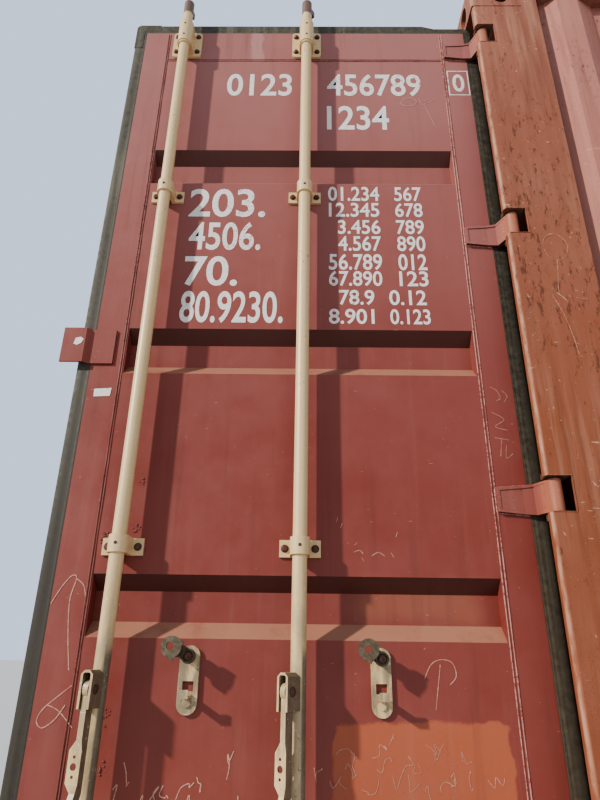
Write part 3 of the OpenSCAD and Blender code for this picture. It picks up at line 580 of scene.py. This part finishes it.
def makeRubber(name, look):
    material, tree, coords = startMaterial(name)
    clouds = useGroup(tree, "clouds", coords, Scale=7.0)
    streaks = useGroup(tree, "streaks", coords, Width=60.0, Share=0.5)
    place = split(tree, coords)
    below = stepDown(tree, place["Z"], *look["below"])
    freeEdge = stepDown(tree, place["X"], leafLow.x + 0.02, leafLow.x + 0.04)
    hingeEdge = stepUp(tree, place["X"], leafHigh.x - 0.04, leafHigh.x - 0.02)
    # Painted shade: the lip's end, where the post shades it, is darkened
    lipShade = stepUp(tree, place["X"], leafHigh.x + 0.010, leafHigh.x + 0.036)
    colour = layPaints(
        tree, look["dark"],
        (clouds["Mottle"], 1.0, look["light"]),
        (streaks[0], 0.55, look["streak"]),
        (times(tree, below, freeEdge), 0.6, look["shadeAndGrime"]),
        (times(tree, below, hingeEdge), 0.3, look["dust"]),
        (lipShade, 0.7, look["shadeAndGrime"]))
    fine = noise(tree, coords, 160.0, 4.0, 0.6)
    endMaterial(tree, colour, clouds["Mottle"], (0.55, 0.8), fine, 0.12, 0.001)
    return material


# Marks and weld beads: their paint, what shows where it is worn, and how much does
markLooks = {
    "markWhite": ((0.72, 0.70, 0.66, 1), (0.42, 0.26, 0.22, 1), 0.4),
    "postChalk": ((0.50, 0.29, 0.20, 1), (0.36, 0.15, 0.09, 1), 0.6),
    "chalk": ((0.51, 0.29, 0.225, 1), (0.44, 0.19, 0.13, 1), 0.6),
    "weldPaint": ((0.20, 0.062, 0.048, 1), (0.10, 0.028, 0.02, 1), 0.5),
    # A lit copy of the weld paint: painted highlight, used on the right stile's seams and the
    # hinge roots' beads
    "weldPale": ((0.45, 0.22, 0.18, 1), (0.24, 0.075, 0.055, 1), 0.5),
}


def makeMarkPaint(name, pale, worn, share):
    material, tree, coords = startMaterial(name)
    flakes = useGroup(tree, "chips", coords, Scale=130.0, Share=share)
    clouds = useGroup(tree, "clouds", coords, Scale=12.0)
    colour = layPaints(tree, pale, (clouds["Mottle"], 0.3, worn), (flakes["Chips"], 1.0, worn))
    endMaterial(tree, colour, flakes["Stain"], (0.55, 0.85))
    return material


# On the floor boards the darkest clouds are real grime, with no shade in them
woodLook = {
    "dark": (0.20, 0.105, 0.05, 1), "light": (0.42, 0.27, 0.15, 1),
    "shadeAndGrime": (0.13, 0.085, 0.055, 1), "scuff": (0.5, 0.36, 0.22, 1),
}


def makeFloorWood(name, look):
    material, tree, coords = startMaterial(name)
    grain = noise(tree, mapped(tree, coords, Scale=(0.5, 9.0, 9.0)), 9.0, 6.0, 0.65)
    clouds = useGroup(tree, "clouds", coords, Scale=1.3)
    scratches = useGroup(tree, "scratches", coords, Scale=30.0, Share=0.9)
    colour = layPaints(
        tree, look["dark"], (grain, 1.0, look["light"]),
        (clouds["Broad"], 0.55, look["shadeAndGrime"]),
        (scratches[0], 0.5, look["scuff"]))
    endMaterial(tree, colour, grain, (0.55, 0.8), grain, 0.2, 0.002)
    return material


finishes = {name: makePaint(name, look) for name, look in paintLooks.items()}
for name, look in rodLooks.items():
    finishes[name] = makeRodPaint(name, look)
for name, look in steelLooks.items():
    finishes[name] = makeSteel(name, *look)
for name, look in markLooks.items():
    finishes[name] = makeMarkPaint(name, *look)
finishes["sealRubber"] = makeRubber("sealRubber", rubberLook)
finishes["floorWood"] = makeFloorWood("floorWood", woodLook)
print("materials made")

slotFinish = {
    "leaf_paint": "leafPaint", "post_paint": "postPaint", "wall_paint": "wallPaint",
    "rod_paint": "rodPaint", "catch_steel": "catchSteel", "seal_rubber": "sealRubber",
    "floor_wood": "floorWood",
}
nodeFinish = {"hinge_blades": "bladePaint", "retainers": "retainerPaint"}
edgeRadii = {
    "leafPaint": 0.003, "bladePaint": 0.0025, "postPaint": 0.002, "wallPaint": 0.0008,
    "rodPaint": 0.0012, "retainerPaint": 0.0014, "catchSteel": 0.0012, "floorWood": 0.001,
    "sealRubber": 0.001,
}
fittings = {"bottom_fittings": 0.005, "top_fittings": 0.005}   # cast, so rounder


def softenEdges(piece, width):
    bevel = piece.modifiers.new("softEdges", "BEVEL")
    bevel.width, bevel.segments, bevel.limit_method = width, 2, "ANGLE"
    bevel.angle_limit = math.radians(35)
    bevel.harden_normals = False


def dressFrame():
    for part in frame["record"]["subparts"]:
        name = part["node"]
        finish = slotFinish[part["material_slot"]]
        for ending, own in nodeFinish.items():
            finish = own if name.endswith(ending) else finish
        node = frame["nodes"][name]
        node.data.materials.clear()
        node.data.materials.append(finishes[finish])
        softenEdges(node, fittings.get(name, edgeRadii[finish]))


dressFrame()
print("frame painted")


# Mesh helpers: shapes are drawn in one of the spaces in millimetres, then placed

def newPiece(name, mesh, body, finish, space, degrees=0):
    # edges sharper than the degrees stay sharp, and none are smoothed without them
    for vertex in mesh.verts:
        vertex.co *= mm
    bmesh.ops.transform(mesh, matrix=spaces[space], verts=mesh.verts)
    bmesh.ops.recalc_face_normals(mesh, faces=mesh.faces)
    data = bpy.data.meshes.new(name)
    mesh.to_mesh(data)
    mesh.free()
    if degrees:
        data.polygons.foreach_set("use_smooth", [True] * len(data.polygons))
        data.set_sharp_from_angle(angle=math.radians(degrees))
    data.materials.append(finishes[finish])
    piece = addObject(name, data)
    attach(piece, body)
    return piece


def joinRings(mesh, rings, capped=True):
    count = len(rings[0])
    for first, second in zip(rings, rings[1:]):
        for k in range(count):
            n = (k + 1) % count
            mesh.faces.new((first[k], first[n], second[n], second[k]))
    if capped:
        mesh.faces.new(rings[-1])
        mesh.faces.new(list(reversed(rings[0])))


def addLathe(mesh, centre, profile, way=(0, 1, 0), sides=20, hollow=False):
    # profile: (radius, height) pairs turned round the way through centre
    turn = Vector((0, 0, 1)).rotation_difference(Vector(way)).to_matrix()
    rings = []
    for radius, height in profile:
        spots = [Vector((radius * math.cos(a), radius * math.sin(a), height))
                 for a in (2 * math.pi * k / sides for k in range(sides))]
        rings.append([mesh.verts.new(Vector(centre) + turn @ spot) for spot in spots])
    joinRings(mesh, rings + rings[:1] if hollow else rings, not hollow)


def addPrism(mesh, outline, low, high, place):
    # outline: (a, b) pairs; place turns (a, b, depth) into a point
    joinRings(mesh, [[mesh.verts.new(place(a, b, depth)) for a, b in outline]
                     for depth in (low, high)])


# The rubber seals: a body on the leaf's edge with an outer lip that reaches over
# the doorway's frame and a small inner fin

sealShape = {
    "outerLip": 41.0,                      # how far the lip reaches past the leaf
    "underFitting": 27.0,                  # the same beside the corner fitting
    "fittingFrom": 1024.0,                 # where the lip has drawn in to that
    "freeLip": 36.5,
    "fin": 11.5,
    "face": 1.2,                           # depth of the lip's face behind the leaf's face
    "corner": ((-38.6, -74), (-38.9, 26), (-36.5, 34), (-31, 39.5), (-23, 41.8), (46, 41.8),
               (46, 13), (-9.5, 13), (-9.5, -74)),
    "cornerDepth": (-5.5, -0.3),
    "bead": ((-9.5, -7.0), (0, -7.0), (0, -10.8), (-9.5, -10.8)),
    "beadPast": 10.0,                      # how far the bead runs past the leaf
    # The free edge's lip: its face, how deep it is, and how far it runs past the leaf
    "freeEdge": {"right_seal": (1.2, 6.1, 38.0), "left_seal": (13.2, 21.0, 10.0)},
}


def lipProfile(reach, fin, face):
    # (reach, depth) round the section, clockwise from the outer face
    ridges = [(0, face), (3, face - 0.9), (6, face), (10, face + 0.4), (13, face - 0.5),
              (16, face + 0.4)]
    lip = [(0.55 * reach, face + 0.1), (0.8 * reach, face - 0.6), (0.93 * reach, face - 0.4),
           (reach, face + 1.4), (reach - 0.6, face + 4.2), (0.85 * reach, face + 5.2),
           (0.6 * reach, face + 5.0), (0.42 * reach, face + 5.6)]
    body = [(fin - 1.5, face + 6.8), (fin - 2.5, face + 14), (fin - 2.5, face + 24),
            (fin, face + 28), (fin, face + 31), (fin - 3, face + 32.6), (0, face + 32.8)]
    return ridges + lip + body


def freeProfile(reach, face, depth):
    heel = [(9.5, face + 7.5)] if depth > 7.5 else []
    return [(0, face), (3, face - 0.7), (6, face), (10, face + 0.4), (0.5 * reach, face),
            (0.85 * reach, face - 0.4), (reach, face + 1.5), (reach - 0.8, face + 4.6),
            (0.7 * reach, face + 5.4), (12, face + 5.2)] + heel + [
            (9.5, face + depth), (0, face + depth)]


def sweepSeal(mesh, stations, section):
    # stations: (x, z, sideways, upward, reach) along the leaf's edge
    joinRings(mesh, [[mesh.verts.new((x + out * sideways, -depth, z + out * upward))
                      for out, depth in section(reach)]
                     for x, z, sideways, upward, reach in stations])


def cornerFan(x, z, start, reach, steps=6):
    # a rounded corner: the section swings through a quarter turn
    turns = [math.radians(start - 90 * k / steps) for k in range(steps + 1)]
    return [(x, z, math.cos(a), math.sin(a), reach) for a in turns]


def makeSeal(body, node, shape):
    width, low, high = leafWidth / mm, leafBottom / mm, leafTop / mm
    full, short, fitting = shape["outerLip"], shape["underFitting"], shape["fittingFrom"]
    mesh = bmesh.new()
    top = [(x, high, 0, 1, full) for x in (0, 300, 600, fitting - 40)]
    side = [(width, high - 36, 1, 0, short)]
    side += [(width, high - 62 - (high - low - 62) * k / 12, 1, 0, full) for k in range(13)]
    sweepSeal(mesh, top + [(fitting, high, 0, 1, short)] + cornerFan(width, high, 90, short)
              + side + cornerFan(width, low, 0, full)
              + [(width / 2, low, 0, -1, full), (0, low, 0, -1, full)],
              lambda reach: lipProfile(reach, shape["fin"], shape["face"]))
    face, depth, past = shape["freeEdge"][node]
    sweepSeal(mesh, [(0, z, -1, 0, shape["freeLip"])
                     for z in (low - past, (low + high) / 2, high + past)],
              lambda reach: freeProfile(reach, face, depth))
    if node == "right_seal":
        for edge, way in ((high, 1), (low, -1)):
            addPrism(mesh, [(x, edge + way * z) for x, z in shape["corner"]],
                     *shape["cornerDepth"], lambda x, z, out: Vector((x, out, z)))
        addPrism(mesh, shape["bead"], low - shape["beadPast"], high + shape["beadPast"],
                 lambda x, out, z: Vector((x, out, z)))
    bmesh.ops.remove_doubles(mesh, verts=mesh.verts, dist=0.01)
    piece = newPiece(node + "Rubber", mesh, body, "sealRubber", body, 40)
    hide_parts(node)


makeSeal("right_leaf", "right_seal", sealShape)
makeSeal("container", "left_seal", sealShape)
print("seals made")


# The rear posts, whose folded front edge ends just past its rounded corner
postShape = {"return": 1.159, "frontOf": -6.08, "shortened": 1.196}


def makeRearPosts(node, look):
    solid = frame["nodes"][node]
    data = solid.data.copy()
    for vertex in data.vertices:
        place = solid.matrix_world @ vertex.co
        if place.x < look["frontOf"] and abs(abs(place.y) - look["return"]) < mm:
            vertex.co.y = math.copysign(look["shortened"], place.y)
    piece = addObject("rearPosts", data)
    piece.matrix_world = solid.matrix_world
    softenEdges(piece, edgeRadii["postPaint"])
    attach(piece, "container")
    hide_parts(node)


makeRearPosts("rear_posts", postShape)
print("rear posts made")


def addBolt(mesh, x, out, z, radius, height):
    # a washer sunk a little into its plate, and a six-sided head on it
    addLathe(mesh, (x, out - 0.4, z),
             [(radius * 1.3, 0), (radius * 1.3, 1.4), (radius * 1.15, 1.9)], sides=18)
    addLathe(mesh, (x, out + 0.8, z),
             [(radius, 0), (radius, height - 1), (radius * 0.8, height)], sides=6)


def addBead(mesh, points, radius, step, sides, seed, ripple):
    # a weld bead: a thin tube along the points, its thickness rippling
    dice = random.Random(seed)
    spots = []
    for start, end in zip(points, points[1:]):
        start, end = Vector(start), Vector(end)
        count = max(1, round((end - start).length / step))
        spots += [start.lerp(end, k / count) for k in range(count)]
    spots.append(Vector(points[-1]))
    rings = []
    for k, spot in enumerate(spots):
        ahead = spots[min(k + 1, len(spots) - 1)] - spots[max(k - 1, 0)]
        side = ahead.orthogonal().normalized()
        other = ahead.cross(side).normalized()
        size = radius * (1 + ripple * dice.uniform(-1, 1))
        rings.append([mesh.verts.new(spot + size * (side * math.cos(a) + other * math.sin(a)))
                      for a in (2 * math.pi * n / sides for n in range(sides))])
    joinRings(mesh, rings, False)


def addRibbon(mesh, points, width, out, seed):
    # a flat stroke drawn on the face: a smooth line through (x, z) points
    dice = random.Random(seed)
    path = []
    ends = [points[0]] + list(points) + [points[-1]]
    for k in range(1, len(ends) - 2):
        a, b, c, d = (Vector(p) for p in ends[k - 1:k + 3])
        for n in range(8):
            t = n / 8
            path.append(0.5 * ((2 * b) + (c - a) * t + (2 * a - 5 * b + 4 * c - d) * t * t
                               + (3 * b - a - 3 * c + d) * t ** 3))
    path.append(Vector(points[-1]))
    pairs = []
    for k, spot in enumerate(path):
        ahead = path[min(k + 1, len(path) - 1)] - path[max(k - 1, 0)]
        if ahead.length < 1e-6:
            continue
        side = Vector((-ahead.y, ahead.x)).normalized() * width * dice.uniform(0.35, 0.6)
        pairs.append([mesh.verts.new((spot.x + s * side.x, out + 0.012 * k,
                                      spot.y + s * side.y)) for s in (1, -1)])
    for first, second in zip(pairs, pairs[1:]):
        corners = [v.co for v in (first[0], first[1], second[1], second[0])]
        turns = [(corners[k] - corners[k - 1]).cross(corners[(k + 1) % 4] - corners[k]).y
                 for k in range(4)]
        if min(turns) > 0 or max(turns) < 0:             # a crossed step is left out
            mesh.faces.new((first[0], first[1], second[1], second[0]))


def addText(mesh, text, x0, x1, z0, z1, out):
    # plain digits fitted to a box on the face
    curve = bpy.data.curves.new("digits", "FONT")
    curve.body = text
    curve.offset = 0.017
    curve.resolution_u = 5
    holder = bpy.data.objects.new("digits", curve)
    flat = bpy.data.meshes.new_from_object(holder)
    low = Vector(min(v.co[k] for v in flat.vertices) for k in range(2))
    high = Vector(max(v.co[k] for v in flat.vertices) for k in range(2))
    spots = [mesh.verts.new((x0 + (v.co.x - low.x) / (high.x - low.x) * (x1 - x0), out,
                             z0 + (v.co.y - low.y) / (high.y - low.y) * (z1 - z0)))
             for v in flat.vertices]
    for polygon in flat.polygons:
        mesh.faces.new([spots[k] for k in polygon.vertices])
    bpy.data.objects.remove(holder)
    bpy.data.meshes.remove(flat)
    bpy.data.curves.remove(curve)


# Bolts, screws and rivets on the bearings and guides of both leaves
boltPattern = {
    "rods": (152.0, 571.0), "bearings": (251.0, 2674.0), "guides": (935.0, 1990.0),
    "spread": (36.5, 37.0), "plate": 8.0, "radius": 7.2, "height": 6.0,
    "ear": 36.0, "earPlate": 7.0, "sleeve": 69.0, "arch": 68.0, "screwSpread": 27.0,
}


def makeBolts(body, look):
    mesh = bmesh.new()
    size = look["radius"], look["height"]
    spreadX, spreadZ = look["spread"]
    for x in look["rods"]:
        for z in look["bearings"]:
            for dx in (-spreadX, spreadX):
                for dz in (-spreadZ, spreadZ):
                    addBolt(mesh, x + dx, look["plate"], z + dz, *size)
            for dz in (-look["screwSpread"], look["screwSpread"]):
                addLathe(mesh, (x, look["sleeve"] - 0.8, z + dz),
                         [(3.4, 0), (3.4, 1.4), (2.2, 2.4)], sides=12)
        for z in look["guides"]:
            for dx in (-look["ear"], look["ear"]):
                addBolt(mesh, x + dx, look["earPlate"], z, *size)
            addLathe(mesh, (x, look["arch"] - 0.8, z), [(3.8, 0), (3.8, 1.4), (2.4, 2.4)],
                     sides=12)
    newPiece(body + "Bolts", mesh, body, "boltSteel", body, 30)


for body in ("right_leaf", "container"):
    makeBolts(body, boltPattern)
print("bolts made")


# Weld beads and seams where stiles, head members, panel and hinge roots meet
seamLook = {
    # The right stile's seams and the hinge roots' beads are laid in the pale, lit copy of the
    # weld paint: painted highlight
    "stiles": {"weldPaint": (80.0, 86.0), "weldPale": (1040.0, 1047.5)},
    "members": (320.0, 2605.0), "radius": 1.7,
    "root": 1048.0, "rootHalf": 30.0, "edgeHalf": 37.0, "beadRadius": 2.4,
    "hinges": (267.0, 1058.0, 1849.0, 2640.0),
    "strap": ((56, 1520), (59.5, 1517), (59.5, 1422), (56, 1419)),
}


def makeSeams(body, look):
    width = leafWidth / mm
    low, high = look["members"]
    root, half, edge = look["root"], look["rootHalf"], look["edgeHalf"]
    for finish, stiles in look["stiles"].items():
        mesh = bmesh.new()
        for n, x in enumerate(stiles):
            addBead(mesh, [(x, 0.2, low - 130), (x, 0.2, high + 130)], look["radius"], 40, 6,
                    n, 0.25)
        if finish == "weldPaint":
            for n, z in enumerate((low - 3.5, low + 3.5, high - 3.5, high + 3.5)):
                addBead(mesh, [(90, 0.2, z), (1036, 0.2, z)], look["radius"] * 0.8, 40, 6,
                        n + 9, 0.25)
            addBead(mesh, [(x, 1.0, z) for x, z in look["strap"]], 2.2, 5, 7, 31, 0.25)
        else:
            for n, z in enumerate(look["hinges"]):
                addBead(mesh, [(width - 2, 0.8, z + edge), (root, 0.8, z + half + 1),
                               (root - 1.5, 0.8, z + half), (root - 1.5, 0.8, z - half),
                               (root, 0.8, z - half - 1), (width - 2, 0.8, z - edge)],
                        look["beadRadius"], 5, 7, n + 20, 0.2)
        newPiece(body + "Seams" + finish[4:], mesh, body, finish, body, 60)


for body in ("right_leaf", "container"):
    makeSeams(body, seamLook)

# Weld spatter: small clusters of drops beside the rods
spatterLook = {
    "places": ((177, 1092), (104, 958), (174, 976), (165, 582), (165, 481), (196, 930)),
    "drops": 9, "spread": 13.0, "sizes": (1.2, 3.2),
}


def makeSpatter(look):
    mesh = bmesh.new()
    dice = random.Random(8)
    for x, z in look["places"]:
        for _ in range(look["drops"]):
            size = dice.uniform(*look["sizes"])
            spot = (x + dice.gauss(0, 0.45) * look["spread"], -0.3,
                    z + dice.gauss(0, 0.6) * look["spread"])
            addLathe(mesh, spot, [(size, 0), (size * 0.9, 0.6 * size), (size * 0.35, size)],
                     sides=7)
    newPiece("weldSpatter", mesh, "right_leaf", "weldPaint", "right_leaf", 50)


makeSpatter(spatterLook)
print("seams made")


# Painted digits: plain ones at the places where the photo has its lettering
digitRows = [
    ("0123", 302, 523, 2433, 2538), ("456789", 642, 960, 2433, 2538),
    ("0", 1068, 1108, 2455, 2538), ("1234", 641, 845, 2279, 2387),
    ("203.", 219, 452, 1920, 2029), ("4506.", 228, 442, 1798, 1901),
    ("70.", 224, 380, 1672, 1776), ("80.9230.", 224, 514, 1550, 1655),
    ("01.234", 643, 800, 1984, 2040), ("567", 846, 929, 1984, 2040),
    ("12.345", 645, 798, 1923, 1977), ("678", 846, 929, 1923, 1977),
    ("3.456", 672, 799, 1859, 1912), ("789", 846, 929, 1859, 1912),
    ("4.567", 672, 799, 1797, 1852), ("890", 846, 929, 1797, 1852),
    ("56.789", 644, 799, 1730, 1787), ("012", 846, 929, 1730, 1787),
    ("67.890", 644, 797, 1675, 1727), ("123", 846, 929, 1675, 1727),
    ("78.9", 672, 772, 1612, 1662), ("0.12", 814, 919, 1612, 1662),
    ("8.901", 643, 770, 1550, 1599), ("0.123", 814, 926, 1550, 1599),
]
digitFrame = {"low": (1052, 2438), "high": (1124, 2555), "line": 4.0, "out": 0.5}


def makeDigits(rows, box):
    mesh = bmesh.new()
    for text, x0, x1, z0, z1 in rows:
        addText(mesh, text, x0, x1, z0, z1, box["out"])
    (x0, z0), (x1, z1), line = box["low"], box["high"], box["line"]
    for a, b, c, d in ((x0, z0, x1, z0 + line), (x0, z1 - line, x1, z1),
                       (x0, z0 + line, x0 + line, z1 - line),
                       (x1 - line, z0 + line, x1, z1 - line)):
        mesh.faces.new([mesh.verts.new((x, box["out"], z))
                        for x, z in ((a, b), (c, b), (c, d), (a, d))])
    newPiece("leafDigits", mesh, "right_leaf", "markWhite", "right_leaf")


makeDigits(digitRows, digitFrame)
print("digits made")


# Chalk strokes, the tag and the chip: abstract marks, no letters
chalkStrokes = [
    ([(66, 668), (52, 742), (44, 815), (52, 862), (40, 868), (20, 842), (2, 806)], 3.4),
    ([(52, 862), (72, 845), (82, 805)], 3.0),
    ([(78, 638), (46, 612), (22, 590), (14, 568), (28, 556), (52, 572), (70, 600)], 3.6),
    ([(30, 600), (58, 588), (92, 557)], 3.2),
    ([(866, 601), (873, 640), (882, 690)], 3.0),
    ([(846, 662), (862, 690), (884, 700), (908, 694), (915, 668), (900, 650)], 3.0),
    ([(886, 2400), (900, 2422), (928, 2424), (940, 2404), (922, 2388), (898, 2388),
      (886, 2400)], 3.4),
    ([(948, 2424), (960, 2394), (1000, 2420), (966, 2402), (992, 2300)], 2.8),
    ([(1066, 1362), (1082, 1352), (1090, 1330), (1078, 1322)], 2.4),
    ([(1096, 1352), (1108, 1336), (1098, 1318)], 2.4),
    ([(1062, 1290), (1092, 1270), (1068, 1250), (1098, 1240)], 2.4),
    ([(1062, 1220), (1098, 1214)], 2.4), ([(1080, 1218), (1072, 1170)], 2.4),
    ([(1090, 1200), (1086, 1166), (1104, 1178)], 2.2),
    ([(1038, 2674), (1043, 2660), (1039, 2646)], 6.0), ([(1030, 2690), (1032, 2664)], 3.0),
    ([(657, 1000), (661, 1012)], 2.0), ([(667, 986), (672, 998)], 2.0),
    ([(698, 930), (712, 934), (720, 926)], 2.6), ([(716, 917), (722, 909)], 2.2),
    ([(740, 922), (756, 930), (771, 921)], 2.4), ([(786, 929), (792, 919)], 2.2),
    ([(799, 966), (803, 978)], 2.4), ([(700, 946), (707, 953)], 2.0),
]
scribbleLook = {
    "thin": 0.68,
    "runs": ((186, 470, 448, 3.4, 11), (596, 985, 470, 2.6, 12), (640, 940, 520, 2.2, 8)),
    "tag": ((21, 1324), (64, 1326), (66, 1349), (20, 1346)), "tagOut": 1.0,
    "chip": ((-50, 1472), (-40, 1468), (-30, 1474), (-24, 1486), (-32, 1493), (-46, 1490)),
    "chipOut": 18.6,
    "post": (([(1243, 1786), (1266, 1802), (1290, 1790), (1304, 1758), (1290, 1722),
               (1262, 1710), (1243, 1728), (1236, 1760), (1245, 1788), (1268, 1799)], 1.7),
             ([(1268, 1712), (1262, 1660), (1256, 1612), (1262, 1590)], 1.6),
             ([(1250, 1606), (1268, 1588), (1276, 1575)], 2.4),
             ([(1236, 1600), (1258, 1540), (1272, 1470), (1278, 1420)], 1.8),
             ([(1300, 1590), (1330, 1586)], 2.0)),
    "postOut": 78.35,                      # on the post's side, drawn in the open leaf's space
}


def makeMarks(strokes, look):
    mesh = bmesh.new()
    for n, (points, width) in enumerate(strokes):
        addRibbon(mesh, points, width * look["thin"], 0.45 + 0.02 * (n % 5), n)
    dice = random.Random(12)
    for start, end, height, width, count in look["runs"]:
        for k in range(count):
            x = start + (end - start) * (k + 0.3) / count
            z = height + dice.uniform(-22, 22)
            points = [(x, z)]
            for _ in range(4):
                x += dice.uniform(-8, 17)
                z += dice.uniform(-26, 26)
                points.append((x, z))
            addRibbon(mesh, points, width * look["thin"], 0.5, 40 + k)
    newPiece("chalkMarks", mesh, "right_leaf", "chalk", "right_leaf")
    mesh = bmesh.new()
    for n, (points, width) in enumerate(look["post"]):
        addRibbon(mesh, points, width, look["postOut"], 70 + n)
    newPiece("postChalk", mesh, "container", "postChalk", "right_leaf")
    mesh = bmesh.new()
    for name in ("tag", "chip"):
        mesh.faces.new([mesh.verts.new((x, look[name + "Out"], z)) for x, z in look[name]])
    newPiece("tagAndChip", mesh, "right_leaf", "markWhite", "right_leaf")


makeMarks(chalkStrokes, scribbleLook)
print("marks made")


# Heads of the handle pins and the rings round the catches' posts
pivotLook = {
    "rest": {"right_rod_1": (152.0, 78.0), "right_rod_2": (571.0, 55.0)},
    "hubOut": 38.0, "rodOut": 45.0, "height": 636.0, "half": 13.5, "radius": 9.5,
    "catch": {"right_catch_1": 332.0, "right_catch_2": 751.0}, "catchHeight": 700.0,
    "catchOut": 32.3,
    "cap": [(8.5, 0), (8.5, 2.6), (7.6, 3.8), (5.6, 4.3), (4.6, 3.4), (1.0, 3.0)],
    "ring": [(14.4, -0.4), (14.4, 3.2), (13.4, 4.2), (11.6, 4.2), (10.8, 3.2),
             (10.6, -0.4)],
}


def makePivots(look):
    radius = look["radius"]
    for rod, (x, turn) in look["rest"].items():
        a = math.radians(turn)
        mesh = bmesh.new()
        centre = Vector((x - look["hubOut"] * math.cos(a),
                         look["rodOut"] + look["hubOut"] * math.sin(a), look["height"]))
        across = Vector((math.sin(a), math.cos(a), 0))
        for side in (-1, 1):
            addLathe(mesh, centre + across * side * (look["half"] - 0.3),
                     [(radius, 0), (radius, 2.2), (radius - 2.5, 3.8), (3.0, 4.4)],
                     across * side)
        newPiece(rod + "PinHeads", mesh, rod, "boltSteel", "right_leaf", 40)
    caps = bmesh.new()
    for x in look["catch"].values():
        addLathe(caps, (x, look["catchOut"] + 0.7, look["catchHeight"]), look["cap"],
                 sides=24)
    newPiece("catchPivotCaps", caps, "right_leaf", "boltSteel", "right_leaf",
             40)
    for catch, x in look["catch"].items():
        mesh = bmesh.new()
        addLathe(mesh, (x, look["catchOut"], look["catchHeight"]), look["ring"], sides=28,
                 hollow=True)
        newPiece(catch + "Ring", mesh, catch, "catchSteel", "right_leaf", 40)


makePivots(pivotLook)
print("pivots made")


# The container's own welds, and floor screws, drawn in world millimetres
bodyLook = {
    "slots": (267.0, 1058.0, 1849.0, 2640.0), "slotHalf": 43.0, "slotEnds": (-6084, -6031),
    "floorRows": 29, "floorBolts": 11,
    "side": 1219.0, "fittingEnds": (5920.0, 6092.0), "fittingSeams": (118.0, 2778.0),
    "railEnds": (-5860, 5910), "railSide": 1214.0, "railSeams": (178.0, 2828.0),
}


def makeBodyWelds(look):
    mesh = bmesh.new()
    back, front = look["slotEnds"]
    half = look["slotHalf"]
    for side in (-1, 1):
        face = side * look["side"]
        for z in look["slots"]:
            for edge in (-1, 1):
                addBead(mesh, [(back, face, z + edge * half), (front, face, z + edge * half)],
                        1.5, 6, 6, int(z) + edge, 0.3)
            addBead(mesh, [(front, face, z - half), (front, face, z + half)], 1.3, 6, 6,
                    int(z) + 5, 0.3)
        for end in (-1, 1):
            for z in look["fittingSeams"]:
                near, far = sorted(end * x for x in look["fittingEnds"])
                addBead(mesh, [(near + 6, face - side, z), (far - 6, face - side, z)], 3.0, 7,
                        7, int(z) + end, 0.25)
        for z in look["railSeams"]:
            addBead(mesh, [(x, side * look["railSide"], z) for x in look["railEnds"]], 2.2,
                    60, 6, int(z), 0.2)
    newPiece("bodyWelds", mesh, "container", "postPaint", "world", 60)


def makeFloorScrews(look):
    mesh = bmesh.new()
    low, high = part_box("floor_boards")
    for row in range(look["floorRows"]):
        x = (low.x + (high.x - low.x) * (row + 0.5) / look["floorRows"]) / mm
        for k in range(look["floorBolts"]):
            y = (low.y + (high.y - low.y) * (k + 0.5) / look["floorBolts"]) / mm
            addLathe(mesh, (x + (k % 2) * 14, y, high.z / mm - 0.5),
                     [(6.5, 0), (6.5, 0.9), (3.0, 1.3), (2.6, 0.7)], (0, 0, 1), 10)
    newPiece("floorScrews", mesh, "container", "boltSteel", "world", 30)


makeBodyWelds(bodyLook)
makeFloorScrews(bodyLook)
print("body details made")
